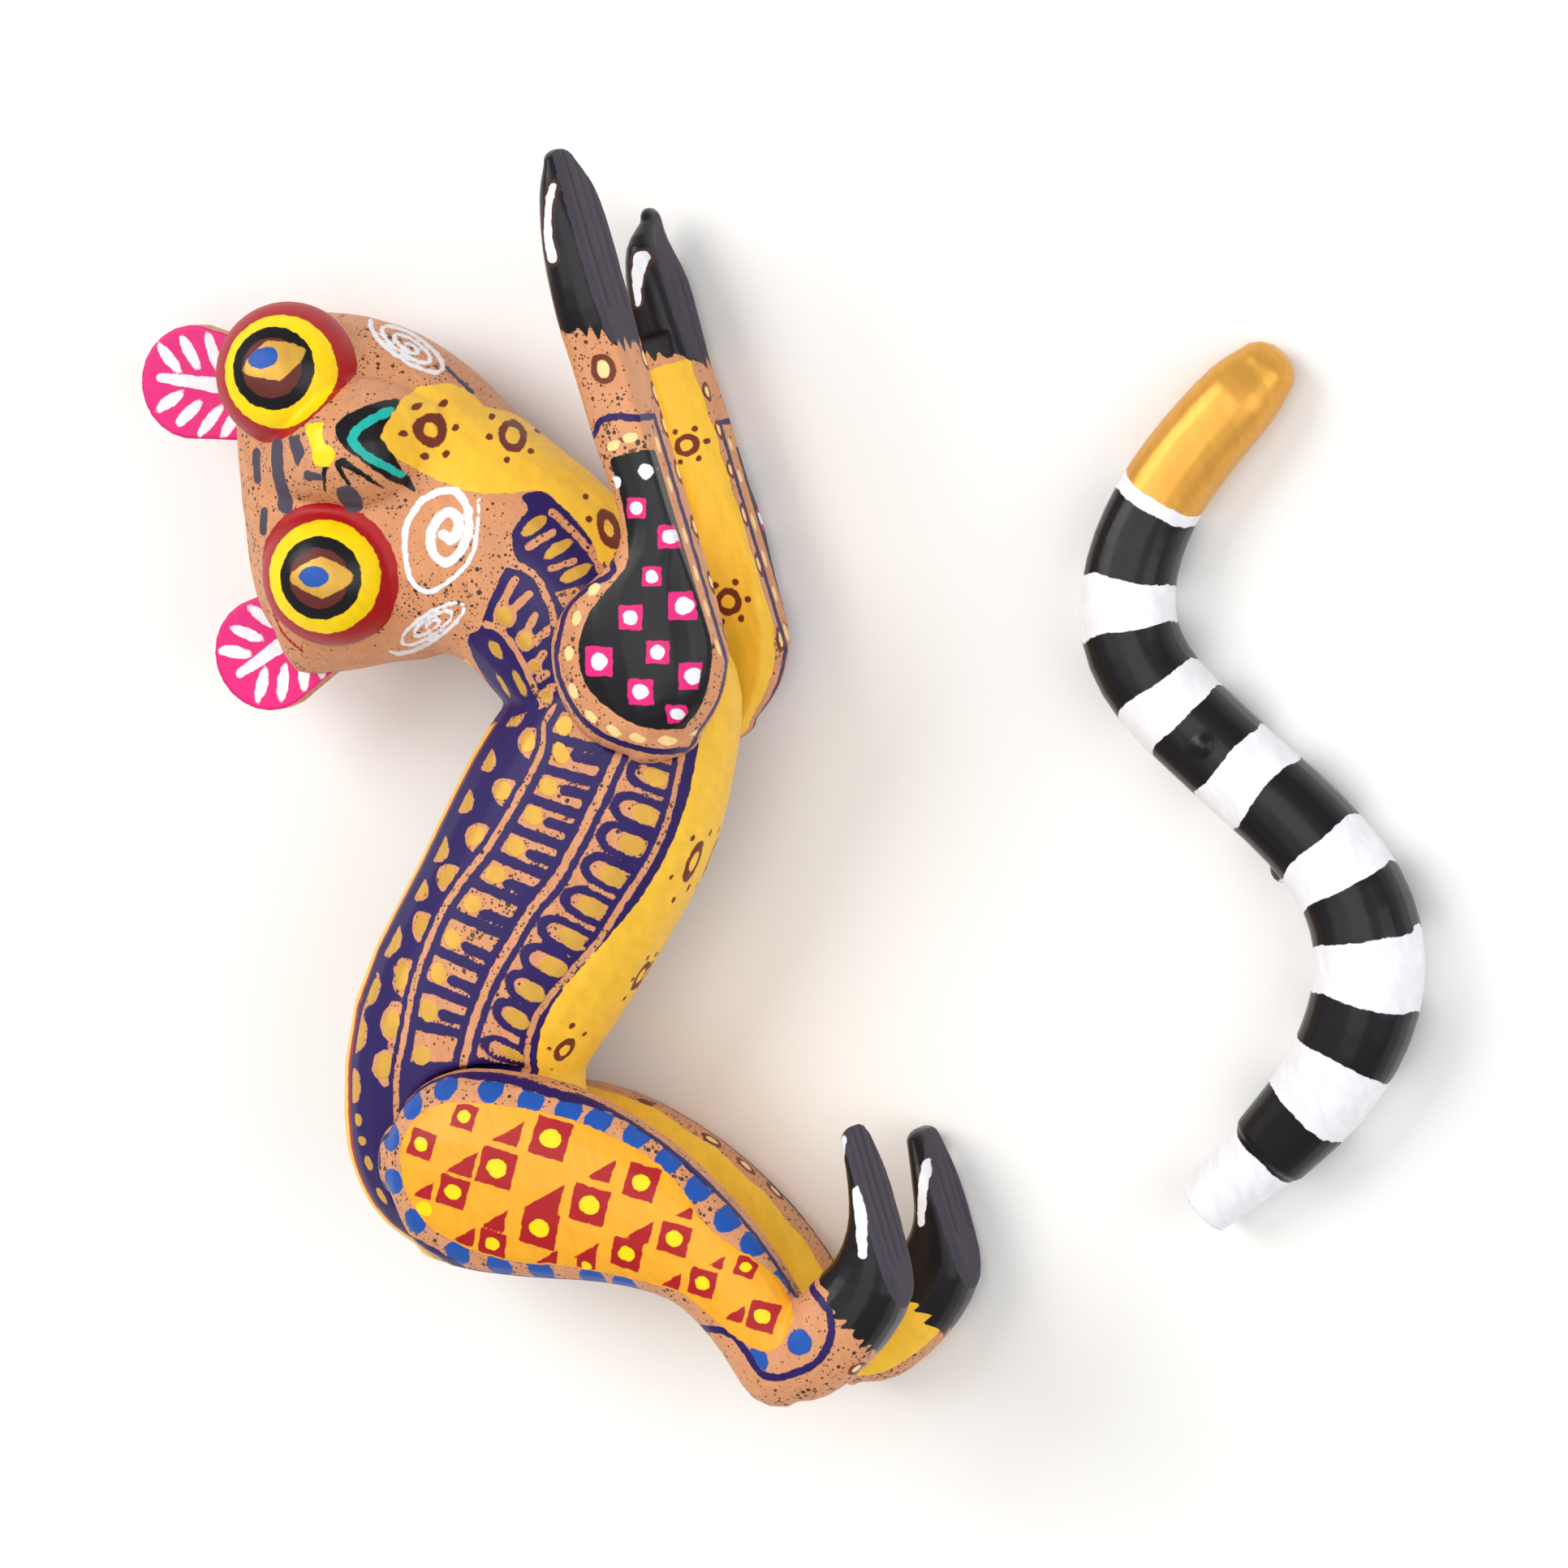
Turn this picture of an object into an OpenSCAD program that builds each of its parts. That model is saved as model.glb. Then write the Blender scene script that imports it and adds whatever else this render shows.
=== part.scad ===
// Carved copal-wood lemur figure with a plug-in tail.
//
// The lemur crouches on its forearms and toes with its rump raised and its head turned
// to its right. It lies here on its left side with its tail taken off and laid beside it.
// Axes: +Z up from the table, +Y forwards along the ground it crouches on, and +X down
// towards that ground, so a point that is "up" units above that ground lies at x = -up.
// Millimetres.

/* [Whole] */
// Length of the set as it lies, from the right fingertips to the left heel
set_length = 157; // [145:1:170]

/* [Body] */
// Side-to-side width of the trunk
trunk_w = 24; // [22:0.5:27]
// Side-to-side width of the neck
neck_w = 22; // [21:0.5:24]
// Depth of the head from its face to its back
head_depth = 32; // [30:0.5:33]
// How far the face stands out from the centre plane
face_out = 11.5; // [10:0.5:12.5]
// Radius of the two carved eye domes
eye_r = 9; // [8.4:0.1:9.6]
// Centre height of the eye domes above the centre plane
eye_out = 7; // [6:0.5:8]
// Height of the muzzle's nose above the centre plane
muzzle_out = 18.5; // [17:0.5:19.5]

// Height of the muzzle's middle above the centre plane
muzzle_mid = 5; // [4:0.5:6]
// Depth of the shallow dip carved over the brow between the ears
brow_dip = 1.5; // [0:0.1:2.5]
// Radius of that dip
brow_r = 12; // [9:0.5:16]

/* [Limbs] */
// Distance from the centre plane to the flat glue faces of the arms and legs
seat_offset = 8.5; // [8:0.1:9]
// Thickness of an arm from side to side
arm_w = 11; // [10:0.2:12]
// Width of a hand across its fingers
hand_w = 13; // [12:0.2:14]
// Thickness of a thigh from side to side
thigh_w = 12; // [11:0.2:12.4]
// Width of a foot across its toes
foot_w = 11.5; // [10.5:0.2:12.5]
// How much shorter the left forearm is than the right one
left_arm_short = 8; // [0:0.5:9]
// How much slimmer the left leg is than the right one
left_leg_slim = 4; // [0:0.2:5]
// Fingers on each hand and toes on each foot
digits = 4; // [3:1:5]
// Depth of the grooves between the digits
groove_depth = 0.6; // [0.3:0.1:0.9]

/* [Pegs] */
// Diameter of the wooden pegs that hold the limbs
peg_d = 4; // [3:0.1:4.5]
// Length of each peg
peg_l = 12; // [9:0.5:13]

/* [Ears] */
// Width of an ear
ear_w = 14.4; // [12:0.1:15]
// Length of an ear from its seat to its tip
ear_l = 14.6; // [13:0.1:16]
// Thickness of an ear
ear_t = 3.4; // [3:0.1:4]
// Diameter of the tenon whittled on each ear
tenon_d = 2.6; // [2:0.1:2.8]
// Length of that tenon
tenon_l = 6; // [4:0.5:7]

/* [Tail] */
// Diameter of the drilled tail socket in the rump
socket_d = 9; // [8.5:0.1:9.6]
// Depth of that socket
socket_depth = 12; // [10:0.5:13]
// Diameter of the plug's whittled tip
plug_tip_d = 7.4; // [7:0.1:7.6]
// Diameter of the plug where it meets the tail
plug_root_d = 10.2; // [10:0.1:10.6]
// Length of the whittled plug
plug_l = 11.5; // [10:0.5:12]

/* [Fits] */
// Radial glue film round a peg or tenon
glue_gap = 0.05; // [0.02:0.01:0.1]
// Gap between a limb or ear and the edge of its seat
seat_gap = 0.2; // [0.1:0.05:0.3]

/* [Hidden] */

sides = 24;          // facets round a limb or the trunk
steps = 3;           // rings from one section to the next
cap_rings = 3;       // rings in a rounded end
reach = 60;          // longer than any cut has to be
// Height of the carving's centre plane above the table, which the left hand, the left thigh
// and the back of the head all touch.
lie = max(seat_offset + (arm_w + hand_w) / 2, seat_offset + thigh_w,
          head_depth - face_out) + 0.15;
grow = set_length / 157; // every station below is written for a set 157 mm long
centre = [0.65 * grow, 3.15 * grow]; // middle of the laid-out set, in the carving's own x and y

copal = [0.82, 0.62, 0.42];
yellow = [0.97, 0.76, 0.2];
violet = [0.17, 0.12, 0.42];
black = [0.1, 0.1, 0.11];
pink = [0.85, 0.15, 0.4];
white = [0.93, 0.93, 0.93];

// ---- Sections. A row is [forward, up, half height, centre z, half width z, squareness].

trunk_rows = [
    [-43.0, 57.0,  7.5, 0, 0.30 * trunk_w, 2.1],
    [-38.0, 56.3, 12.6, 0, 0.44 * trunk_w, 2.2],
    [-31.5, 54.4, 15.2, 0, 0.50 * trunk_w, 2.3],
    [-18.9, 50.0, 15.0, 0, 0.50 * trunk_w, 2.3],
    [ -7.9, 38.4, 15.8, 0, 0.50 * trunk_w, 2.3],
    [  3.7, 26.4, 16.2, 0, 0.50 * trunk_w, 2.3],
    [ 12.0, 18.8, 14.4, 0, 0.49 * trunk_w, 2.2],
    [ 19.0, 12.9, 11.5, 0, 0.44 * trunk_w, 2.1],
    [ 23.5,  9.6,  6.5, 0, 0.30 * trunk_w, 2.0]];

head_mid = face_out - head_depth / 2;
head_rows = [
    [13.5, 17.0, 12.5, 0, 0.48 * neck_w, 2.1],
    [24.4, 20.4, 13.4, 0, 0.50 * neck_w, 2.1],
    [33.3, 24.9, 14.0, 0.3 * head_mid, 0.26 * neck_w + 0.18 * head_depth, 2.1],
    [38.9, 30.1, 15.0, 0.7 * head_mid, 0.43 * head_depth, 2.2],
    [42.6, 35.3, 17.7, head_mid, 0.47 * head_depth, 2.3],
    [46.1, 40.5, 20.6, head_mid, 0.50 * head_depth, 2.3],
    [49.3, 45.9, 22.5, head_mid, 0.50 * head_depth, 2.4],
    [51.4, 50.6, 22.7, head_mid, 0.48 * head_depth, 2.4],
    [52.5, 54.3, 21.6, head_mid, 0.42 * head_depth, 2.3],
    [52.9, 56.7, 18.4, head_mid, 0.33 * head_depth, 2.2],
    [53.2, 58.0, 13.3, head_mid, 0.21 * head_depth, 2.1]];
muzzle_rows = [
    [53.6, 29.8, 4.0, muzzle_mid, 0.26 * (muzzle_out - muzzle_mid), 2.1],
    [54.0, 33.2, 6.8, muzzle_mid, 0.70 * (muzzle_out - muzzle_mid), 2.1],
    [54.6, 37.4, 8.6, muzzle_mid, 0.95 * (muzzle_out - muzzle_mid), 2.1],
    [55.0, 41.0, 8.2, muzzle_mid, muzzle_out - muzzle_mid, 2.1],
    [54.8, 46.0, 6.6, muzzle_mid, 0.78 * (muzzle_out - muzzle_mid), 2.1],
    [54.4, 51.0, 5.0, 0.8 * muzzle_mid, 0.52 * (muzzle_out - muzzle_mid), 2.1]];

// An arm or leg row is [forward, up, half height, inner side, outer side, squareness],
// with both sides counted outwards from the glue face.
bury = 2.2; // how far a limb's round section runs past its flat glue face
hand_in = (arm_w - hand_w) / 2;
hand_out = (arm_w + hand_w) / 2;
arm_rows = [
    [ 8.6, 11.0,  4.6, -bury, 0.74 * arm_w, 2.1],
    [12.0, 10.9,  8.6, -bury, 0.94 * arm_w, 2.2],
    [17.5, 10.4, 11.0, -bury, arm_w, 2.3],
    [23.0,  9.8, 11.1, -bury, arm_w, 2.4],
    [26.5,  8.7, 10.4, -0.9 * bury, 0.99 * arm_w, 2.5],
    [29.0,  6.9,  8.8, -0.6 * bury, 0.98 * arm_w, 2.6],
    [31.0,  4.6,  6.6, -0.3 * bury, 0.97 * arm_w, 2.7],
    [33.0,  3.1,  5.2, -0.1 * bury, 0.96 * arm_w, 2.8],
    [36.5,  2.3,  4.6, 0, 0.95 * arm_w, 2.9],
    [46.0,  2.5,  4.8, 0, 0.94 * arm_w, 2.9],
    [55.0,  2.7,  4.6, 0, 0.95 * arm_w, 2.9],
    [62.0,  2.7,  4.4, 0.6 * hand_in, 0.99 * hand_out, 2.8],
    [70.0,  2.3,  4.1, hand_in, hand_out, 2.7],
    [76.5,  2.0,  2.7, 0.6 * hand_in, hand_out, 2.5],
    [80.1,  1.3,  1.4, 0.3 * arm_w, 0.97 * hand_out, 2.2]];

foot_in = (thigh_w - foot_w) / 2;
foot_out = (thigh_w + foot_w) / 2;
leg_rows = [
    [-31.0, 59.5,  4.5, -bury, 0.72 * thigh_w, 2.1],
    [-32.0, 56.5,  9.5, -bury, 0.92 * thigh_w, 2.2],
    [-34.3, 50.8, 12.4, -bury, thigh_w, 2.3],
    [-38.8, 40.5, 12.3, -bury, thigh_w, 2.4],
    [-45.1, 30.9,  9.8, -0.5 * bury, 0.95 * thigh_w, 2.4],
    [-52.5, 23.8,  7.2, 0, 0.92 * thigh_w, 2.4],
    [-60.3, 20.0,  6.2, 0.4, 0.91 * thigh_w, 2.4],
    [-67.8, 18.0,  5.8, 0.8, 0.90 * thigh_w, 2.3]];
foot_rows = [
    [-69.2, 19.4,  3.6, 1.6, 0.84 * thigh_w, 2.1],
    [-68.0, 15.6,  5.6, 1.0, 0.92 * thigh_w, 2.3],
    [-65.2,  9.6,  5.9, foot_in, foot_out, 2.5],
    [-61.0,  4.1,  5.2, foot_in, foot_out, 2.6],
    [-55.0,  1.4,  3.3, foot_in, foot_out, 2.6],
    [-49.0,  0.5,  2.2, foot_in, foot_out, 2.5],
    [-43.8,  0.3,  1.6, 0.2 * thigh_w, 0.98 * foot_out, 2.3]];

// The left limbs were carved by eye: a shorter, slimmer forearm, and a slimmer leg and foot
// set further back.
left_arm_rows = [for (r = arm_rows) let (slim = min(0.9, 0.25 * max(0, r[0] - 32), r[2] / 4))
    [r[0] - left_arm_short * max(0, r[0] - 36) / 44, r[1] + slim, r[2] - slim, r[3],
     r[4] - 0.4 * max(0, r[0] - 72), r[5]]];
left_leg_rows = [for (r = leg_rows)
    [r[0] - 0.45 * left_leg_slim, r[1] + 0.3 * left_leg_slim, r[2] - left_leg_slim / 2,
     r[3], r[4], r[5]]];
left_foot_rows = [for (r = foot_rows)
    [r[0] - 0.5 * left_leg_slim - 0.1 * max(0, r[0] + 61),
     r[1] + 0.09 * max(0, r[0] + 63), r[2], r[3], r[4], r[5]]];

// The tail's rows are [x, y, diameter, squareness]: it lies on the table by itself.
tail_rows = [
    [67.5, 31.6,  8.2, 2.2],
    [64.3, 29.7, 10.0, 2.3],
    [57.0, 25.2, 10.6, 2.4],
    [50.3, 20.0, 10.8, 2.4],
    [45.0, 13.4, 11.2, 2.5],
    [42.4,  5.8, 11.8, 2.5],
    [43.9, -2.2, 12.0, 2.5],
    [49.8,-12.6, 11.9, 2.5],
    [56.6,-23.6, 12.1, 2.5],
    [60.2,-32.6, 12.8, 2.5],
    [60.0,-41.0, 13.4, 2.5],
    [56.2,-48.6, 13.2, 2.5],
    [49.4,-55.2, 12.2, 2.5],
    [40.6,-60.4, 10.6, 2.4]];
tail_end = tail_rows[len(tail_rows) - 1];
// Two small knots in the tail: [x, y, centre height, radius]
knots = [[48.6, -10.2, 10.4, 2.0], [52.6, -27.6, 5.2, 1.9]];
plug_turn = 115; // heading of the whittled plug, counted from +Y towards -X

// ---- Where the joints of the carving are.

shoulder_pegs = [[18.5, 12.0], [12.0, 15.0]];   // forward, up
hip_pegs = [[-37.0, 52.5], [-31.0, 47.5]];
ear_seats = [[66.0, 55.2, 26], [35.8, 55.5, -14]]; // forward, up, lean forwards in degrees
ear_z = -5;
brow_at = [52.0, 59.0];
socket_at = [-33.0, 69.2];
socket_lean = 28; // degrees from straight up, towards the rear
eyes = [[66.0, 45.8], [40.7, 47.4]];

// ---- Functions.

function blend(a, b, c, d, t) = 0.5 * (2 * b + (c - a) * t
    + (2 * a - 5 * b + 4 * c - d) * t * t + (3 * b - a - 3 * c + d) * t * t * t);
function spline(rows, last = undef) =
    let (n = len(rows) - 1)
    concat([for (i = [0:n - 1], k = [0:steps - 1])
        blend(rows[max(i - 1, 0)], rows[i], rows[i + 1], rows[min(i + 2, n)], k / steps)],
        [rows[n]]);
function unit(v) = v / norm(v);
function heading(rows, i) =
    let (a = rows[max(i - 1, 0)], b = rows[min(i + 1, len(rows) - 1)])
    unit([b[0] - a[0], b[1] - a[1]]);
function power(v, p) = sign(v) * pow(abs(v), 2 / p);

// One rounded-square ring: row is [x, y, half size in the plane, centre z, half size in z, p].
function ring(row, dir, n, shrink = 1, ahead = 0) =
    [for (i = [0:n - 1])
        let (w = 360 * i / n,
             a = shrink * row[2] * power(cos(w), row[5]),
             b = shrink * row[4] * power(sin(w), row[5]))
        [row[0] + ahead * dir[0] - a * dir[1], row[1] + ahead * dir[1] + a * dir[0], row[3] + b]];

// The way a ring faces: along its rows, or all one way for a limb sawn square across.
forward = [0, 1];
function facing(rows, i, way) = way == undef ? heading(rows, i) : way;

// Rings of a sweep along rows, with a rounded end of the given length at each end.
function sweep_rings(rows, n, round0, round1, way) =
    let (last = len(rows) - 1)
    concat(
        [for (k = [1:cap_rings]) let (w = 90 * k / (cap_rings + 1))
            ring(rows[0], facing(rows, 0, way), n, sin(w), -round0 * cos(w))],
        [for (i = [0:last]) ring(rows[i], facing(rows, i, way), n)],
        [for (k = [cap_rings:-1:1]) let (w = 90 * k / (cap_rings + 1))
            ring(rows[last], facing(rows, last, way), n, sin(w), round1 * cos(w))]);

// A limb's rows in the plane: forward and up become x and y, sides become centre and half width.
function in_plane(rows) = [for (r = rows)
    [-grow * r[1], grow * r[0], grow * r[2], r[3], r[4], r[5]]];
function limb(rows) = [for (r = rows)
    [-grow * r[1], grow * r[0], grow * r[2],
     seat_offset + (r[3] + r[4]) / 2, (r[4] - r[3]) / 2, r[5]]];
function edge(rows, side, gap, way) = [for (i = [0:len(rows) - 1])
    let (d = facing(rows, i, way), a = side * (rows[i][2] + gap))
    [rows[i][0] - a * d[1], rows[i][1] + a * d[0]]];
function backwards(list) = [for (i = [len(list) - 1:-1:0]) list[i]];

// ---- Shapes that repeat.

// A closed skin over a stack of rings, each end filled with a fan.
module skin(rings) {
    n = len(rings[0]);
    m = len(rings) - 1;
    points = [for (r = rings) each r];
    walls = [for (j = [0:m - 1], i = [0:n - 1])
        let (a = j * n + i, b = j * n + (i + 1) % n, c = a + n, d = b + n)
        each [[a, d, b], [a, c, d]]];
    foot = [for (i = [1:n - 2]) [0, i, i + 1]];
    top = [for (i = [1:n - 2]) [m * n, m * n + i + 1, m * n + i]];
    polyhedron(points = points, faces = concat(walls, foot, top));
}

module sweep(rows, n = sides, round0 = 2, round1 = 2, way = undef) {
    skin(sweep_rings(rows, n, round0, round1, way));
}

// Flat outline of a limb, a little larger than the limb, for the pocket it sits in.
module footprint(rows, gap, way = undef) {
    smooth = spline(limb(rows));
    n = len(smooth) - 1;
    d0 = facing(smooth, 0, way);
    polygon(concat(edge(smooth, 1, gap, way),
                   backwards(edge(smooth, -1, gap, way)),
                   [[smooth[0][0] - (2 + gap) * d0[0], smooth[0][1] - (2 + gap) * d0[1]]]));
}

module at(spot, z = 0) {
    translate([-grow * spot[1], grow * spot[0], z]) children();
}

// A peg, or its hole when grown: half of it lies on each side of a glue face.
module peg(spot, grow = 0) {
    at(spot, seat_offset - peg_l / 2 - grow)
        cylinder(d = peg_d + 2 * grow, h = peg_l + 2 * grow, $fn = 40);
}

// Everything below the ground that the figure crouches on.
module ground() {
    translate([0, -2 * reach, -reach]) cube([reach, 4 * reach, 2 * reach]);
}

module place() {
    translate([-centre[0], -centre[1], lie]) children();
}

// Grooves between the digits on the ground side, from one height forwards to another.
module grooves(from, to, inner, outer) {
    pitch = (outer - inner) / digits;
    for (i = [1:digits - 1])
        translate([0, from, seat_offset + inner + i * pitch])
            rotate([-90, 0, 0])
                linear_extrude(height = to - from)
                    polygon([[-groove_depth, 0], [1, -1.2 * groove_depth - 0.4],
                             [1, 1.2 * groove_depth + 0.4]]);
}

// ---- Pieces.

module trunk_blank() {
    sweep(spline(in_plane(trunk_rows)), round0 = 3.5, round1 = 3);
}

module head_blank() {
    sweep(spline(in_plane(head_rows)), round0 = 3, round1 = 1);
}

module eye_dome(spot) {
    at(spot, eye_out) sphere(r = eye_r, $fn = 48);
}

module muzzle() {
    sweep(spline(in_plane(muzzle_rows)), n = 20, round0 = 1.5, round1 = 2);
}

module body_carving() {
    color(copal)
    difference() {
        union() {
            trunk_blank();
            head_blank();
            muzzle();
            for (e = eyes) eye_dome(e);
        }
        pockets(arm_rows, leg_rows);
        mirror([0, 0, 1]) pockets(left_arm_rows, left_leg_rows);
        tail_socket();
        at([brow_at[0], brow_at[1] + (brow_r - brow_dip) / grow], -reach / 2)
            cylinder(r = brow_r, h = reach, $fn = 96);
        for (e = ear_seats) ear_frame(e) ear_hole();
    }
}

// Flats for one arm and one leg, let into the side of the trunk, with their peg holes.
module pockets(arm_shape, leg_shape) {
    translate([0, 0, seat_offset]) {
        linear_extrude(height = reach) footprint(arm_shape, 1.5 * seat_gap, forward);
        linear_extrude(height = reach) footprint(leg_shape, seat_gap);
    }
    for (p = concat(shoulder_pegs, hip_pegs)) peg(p, glue_gap);
}

// The tail's socket: a blind hole down into the rump.
module tail_socket() {
    at(socket_at)
        rotate([0, -90, 0]) rotate([socket_lean, 0, 0])
            translate([0, 0, -socket_depth]) cylinder(d = socket_d, h = reach, $fn = 64);
}

module ear_frame(e) {
    at([e[0], e[1]], ear_z) rotate([0, 0, 180 - e[2]]) children();
}

// Outline of an ear from its seat outwards: a little waisted, with a round tip.
module ear_outline(extra = 0) {
    a = ear_w / 2 + extra;
    round = 0.48 * ear_l;
    polygon(concat([[-extra, -0.86 * a], [0.28 * ear_l, -0.93 * a]],
                   [for (w = [-90:15:90])
                       [ear_l - round + round * cos(w), a * sin(w)]],
                   [[0.28 * ear_l, 0.93 * a], [-extra, 0.86 * a]]));
}

module ear_hole() {
    translate([0, 0, -ear_t / 2 - seat_gap])
        linear_extrude(height = ear_t + 2 * seat_gap) ear_outline(seat_gap);
    translate([-tenon_l - glue_gap, 0, 0])
        rotate([0, 90, 0]) cylinder(d = tenon_d + 2 * glue_gap, h = tenon_l + 1, $fn = 32);
}

module ear(which) {
    color(pink)
    ear_frame(ear_seats[which]) {
        translate([0, 0, -ear_t / 2]) linear_extrude(height = ear_t) ear_outline();
        translate([-tenon_l, 0, 0])
            rotate([0, 90, 0]) cylinder(d = tenon_d, h = tenon_l + 1, $fn = 32);
    }
}

module arm(rows) {
    tip = grow * rows[len(rows) - 1][0];
    color(copal)
    difference() {
        sweep(spline(limb(rows)), round0 = 2, round1 = 1.6, way = forward);
        ground();
        translate([-reach, -reach / 2, seat_offset - reach])
            cube([2 * reach, 1.5 * reach - 2, reach]);
        for (p = shoulder_pegs) peg(p, glue_gap);
        grooves(tip - 19, tip + 9, hand_in, hand_out);
    }
}

module leg(rows, sole_rows) {
    color(copal)
    difference() {
        union() {
            sweep(spline(limb(rows)), round0 = 2, round1 = 5.5);
            sweep(spline(limb(sole_rows)), round0 = 2, round1 = 1.6);
        }
        ground();
        translate([-reach - 20, -reach, seat_offset - reach])
            cube([2 * reach, reach, reach]);
        for (p = hip_pegs) peg(p, glue_gap);
        grooves(-60 * grow, -30 * grow, foot_in, foot_out);
    }
}

module tail() {
    color(white) {
        sweep(spline([for (r = tail_rows) [grow * r[0], grow * r[1], r[2] / 2, r[2] / 2,
                                           r[2] / 2, r[3]]]), round0 = 3.5, round1 = 0.6);
        translate([grow * tail_end[0], grow * tail_end[1], tail_end[2] / 2])
            rotate([0, 0, plug_turn]) translate([0, -2, 0]) rotate([-90, 0, 0])
                cylinder(d1 = plug_root_d, d2 = plug_tip_d, h = plug_l + 2, $fn = 48);
        for (k = knots)
            translate([grow * k[0], grow * k[1], k[2]]) sphere(r = k[3], $fn = 24);
    }
}

module limb_peg(spot, side) {
    color("burlywood") mirror([0, 0, side]) peg(spot);
}

place() body_carving();
place() arm(arm_rows);  // right_arm
place() mirror([0, 0, 1]) arm(left_arm_rows);  // left_arm
place() leg(leg_rows, foot_rows);  // right_leg
place() mirror([0, 0, 1]) leg(left_leg_rows, left_foot_rows);  // left_leg
place() limb_peg(shoulder_pegs[0], 0);  // right_shoulder_peg_front
place() limb_peg(shoulder_pegs[1], 0);  // right_shoulder_peg_rear
place() limb_peg(shoulder_pegs[0], 1);  // left_shoulder_peg_front
place() limb_peg(shoulder_pegs[1], 1);  // left_shoulder_peg_rear
place() limb_peg(hip_pegs[0], 0);  // right_hip_peg_upper
place() limb_peg(hip_pegs[1], 0);  // right_hip_peg_lower
place() limb_peg(hip_pegs[0], 1);  // left_hip_peg_upper
place() limb_peg(hip_pegs[1], 1);  // left_hip_peg_lower
place() ear(0);  // front_ear
place() ear(1);  // rear_ear
translate([-centre[0], -centre[1], 0]) tail();
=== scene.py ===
# %% [markdown]
# Painted copal ring-tailed animal figure: a carved wooden animal lying on its side, with its
# separate ringed tail beside it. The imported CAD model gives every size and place. Here each
# carved piece gets a softened surface and its hand painting, one coat over the other.
# %% Load the carved blanks
import math
import bpy
import numpy as np
from mathutils import Matrix, Vector


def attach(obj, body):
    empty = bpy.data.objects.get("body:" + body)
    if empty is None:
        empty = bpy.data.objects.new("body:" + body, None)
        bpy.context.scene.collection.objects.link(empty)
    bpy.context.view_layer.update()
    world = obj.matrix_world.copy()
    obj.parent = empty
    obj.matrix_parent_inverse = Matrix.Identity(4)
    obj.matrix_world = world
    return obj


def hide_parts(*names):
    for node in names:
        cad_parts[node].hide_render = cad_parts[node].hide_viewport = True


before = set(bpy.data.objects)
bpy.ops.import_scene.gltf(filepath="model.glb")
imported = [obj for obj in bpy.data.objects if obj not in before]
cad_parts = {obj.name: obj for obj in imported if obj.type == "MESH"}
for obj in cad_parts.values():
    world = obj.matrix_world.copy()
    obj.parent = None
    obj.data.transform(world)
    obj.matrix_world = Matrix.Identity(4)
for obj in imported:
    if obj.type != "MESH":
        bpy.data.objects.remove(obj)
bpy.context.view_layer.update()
print("blanks:", sorted(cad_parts))

# %% [markdown]
# Knife and sandpaper leave soft edges and paint rounds them further, while the CAD solids have
# flat facets. Each blank is therefore copied, its loose triangles are joined, it is remeshed
# in small even cells and smoothed a little. The even cells also carry the paint, because each
# corner of a cell can say how far it is from the edge of a coat.
# %% Soften a blank
def soften(node, cell, passes, body):
    """A smooth copy of one CAD blank. cell is the mesh spacing in metres, passes how often it is sanded."""
    bpy.ops.object.select_all(action="DESELECT")
    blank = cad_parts[node]
    blank.select_set(True)
    bpy.context.view_layer.objects.active = blank
    bpy.ops.object.duplicate()
    piece = bpy.context.object
    piece.name = "painted_" + node
    piece.data.materials.clear()
    bpy.ops.object.mode_set(mode="EDIT")
    bpy.ops.mesh.select_all(action="SELECT")
    bpy.ops.mesh.remove_doubles(threshold=0.00001)
    bpy.ops.object.mode_set(mode="OBJECT")
    remesh = piece.modifiers.new("even cells", "REMESH")
    remesh.mode, remesh.voxel_size = "VOXEL", cell
    bpy.ops.object.modifier_apply(modifier=remesh.name)
    if passes:
        smooth = piece.modifiers.new("sanding", "SMOOTH")
        smooth.factor, smooth.iterations = 0.5, passes
        bpy.ops.object.modifier_apply(modifier=smooth.name)
    bpy.ops.object.shade_smooth()
    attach(piece, body)
    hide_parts(node)
    print(piece.name, len(piece.data.polygons), "cells")
    return piece

# %% [markdown]
# The painting follows the animal, not the table it lies on. So every rule below is written on
# the carver's side view of the animal in millimetres: f runs from tail to nose, u from belly
# to back, and s stands out of the side, with the middle of the board at 0.
# %% The carver's side view
U_SHIFT, F_SHIFT, S_SHIFT = 0.65, 3.15, 20.65    # from the table's middle to the board's own zero

def corners_mm(piece):
    """The corners of a mesh as x, y and z on the table, in millimetres."""
    flat = np.empty(len(piece.data.vertices) * 3, np.float32)
    piece.data.vertices.foreach_get("co", flat)
    return flat.reshape(-1, 3).T.astype(float) * 1000

def side_view(piece):
    x, y, z = corners_mm(piece)
    return np.stack([y + F_SHIFT, -x - U_SHIFT, z - S_SHIFT])

def on_table(q):
    """The side view's numbers turned back to x, y and z."""
    return np.array([-q[1] - U_SHIFT, q[0] - F_SHIFT, q[2] + S_SHIFT])

def bend(points, steps=5, closed=False):
    """A smooth curve through given points."""
    p = np.array(points, float)
    if closed:
        p = np.vstack([p[-1], p, p[0], p[1]])
    else:
        p = np.vstack([2 * p[0] - p[1], p, 2 * p[-1] - p[-2]])
    out = []
    for a, b, c, d in zip(p, p[1:], p[2:], p[3:]):
        for k in range(steps):
            t = k / steps
            pull = (c - a) * t + (2 * a - 5 * b + 4 * c - d) * t * t + (3 * b - a - 3 * c + d) * t ** 3
            out.append(0.5 * (2 * b + pull))
    return np.array(out if closed else out + [p[-2]])

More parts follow.
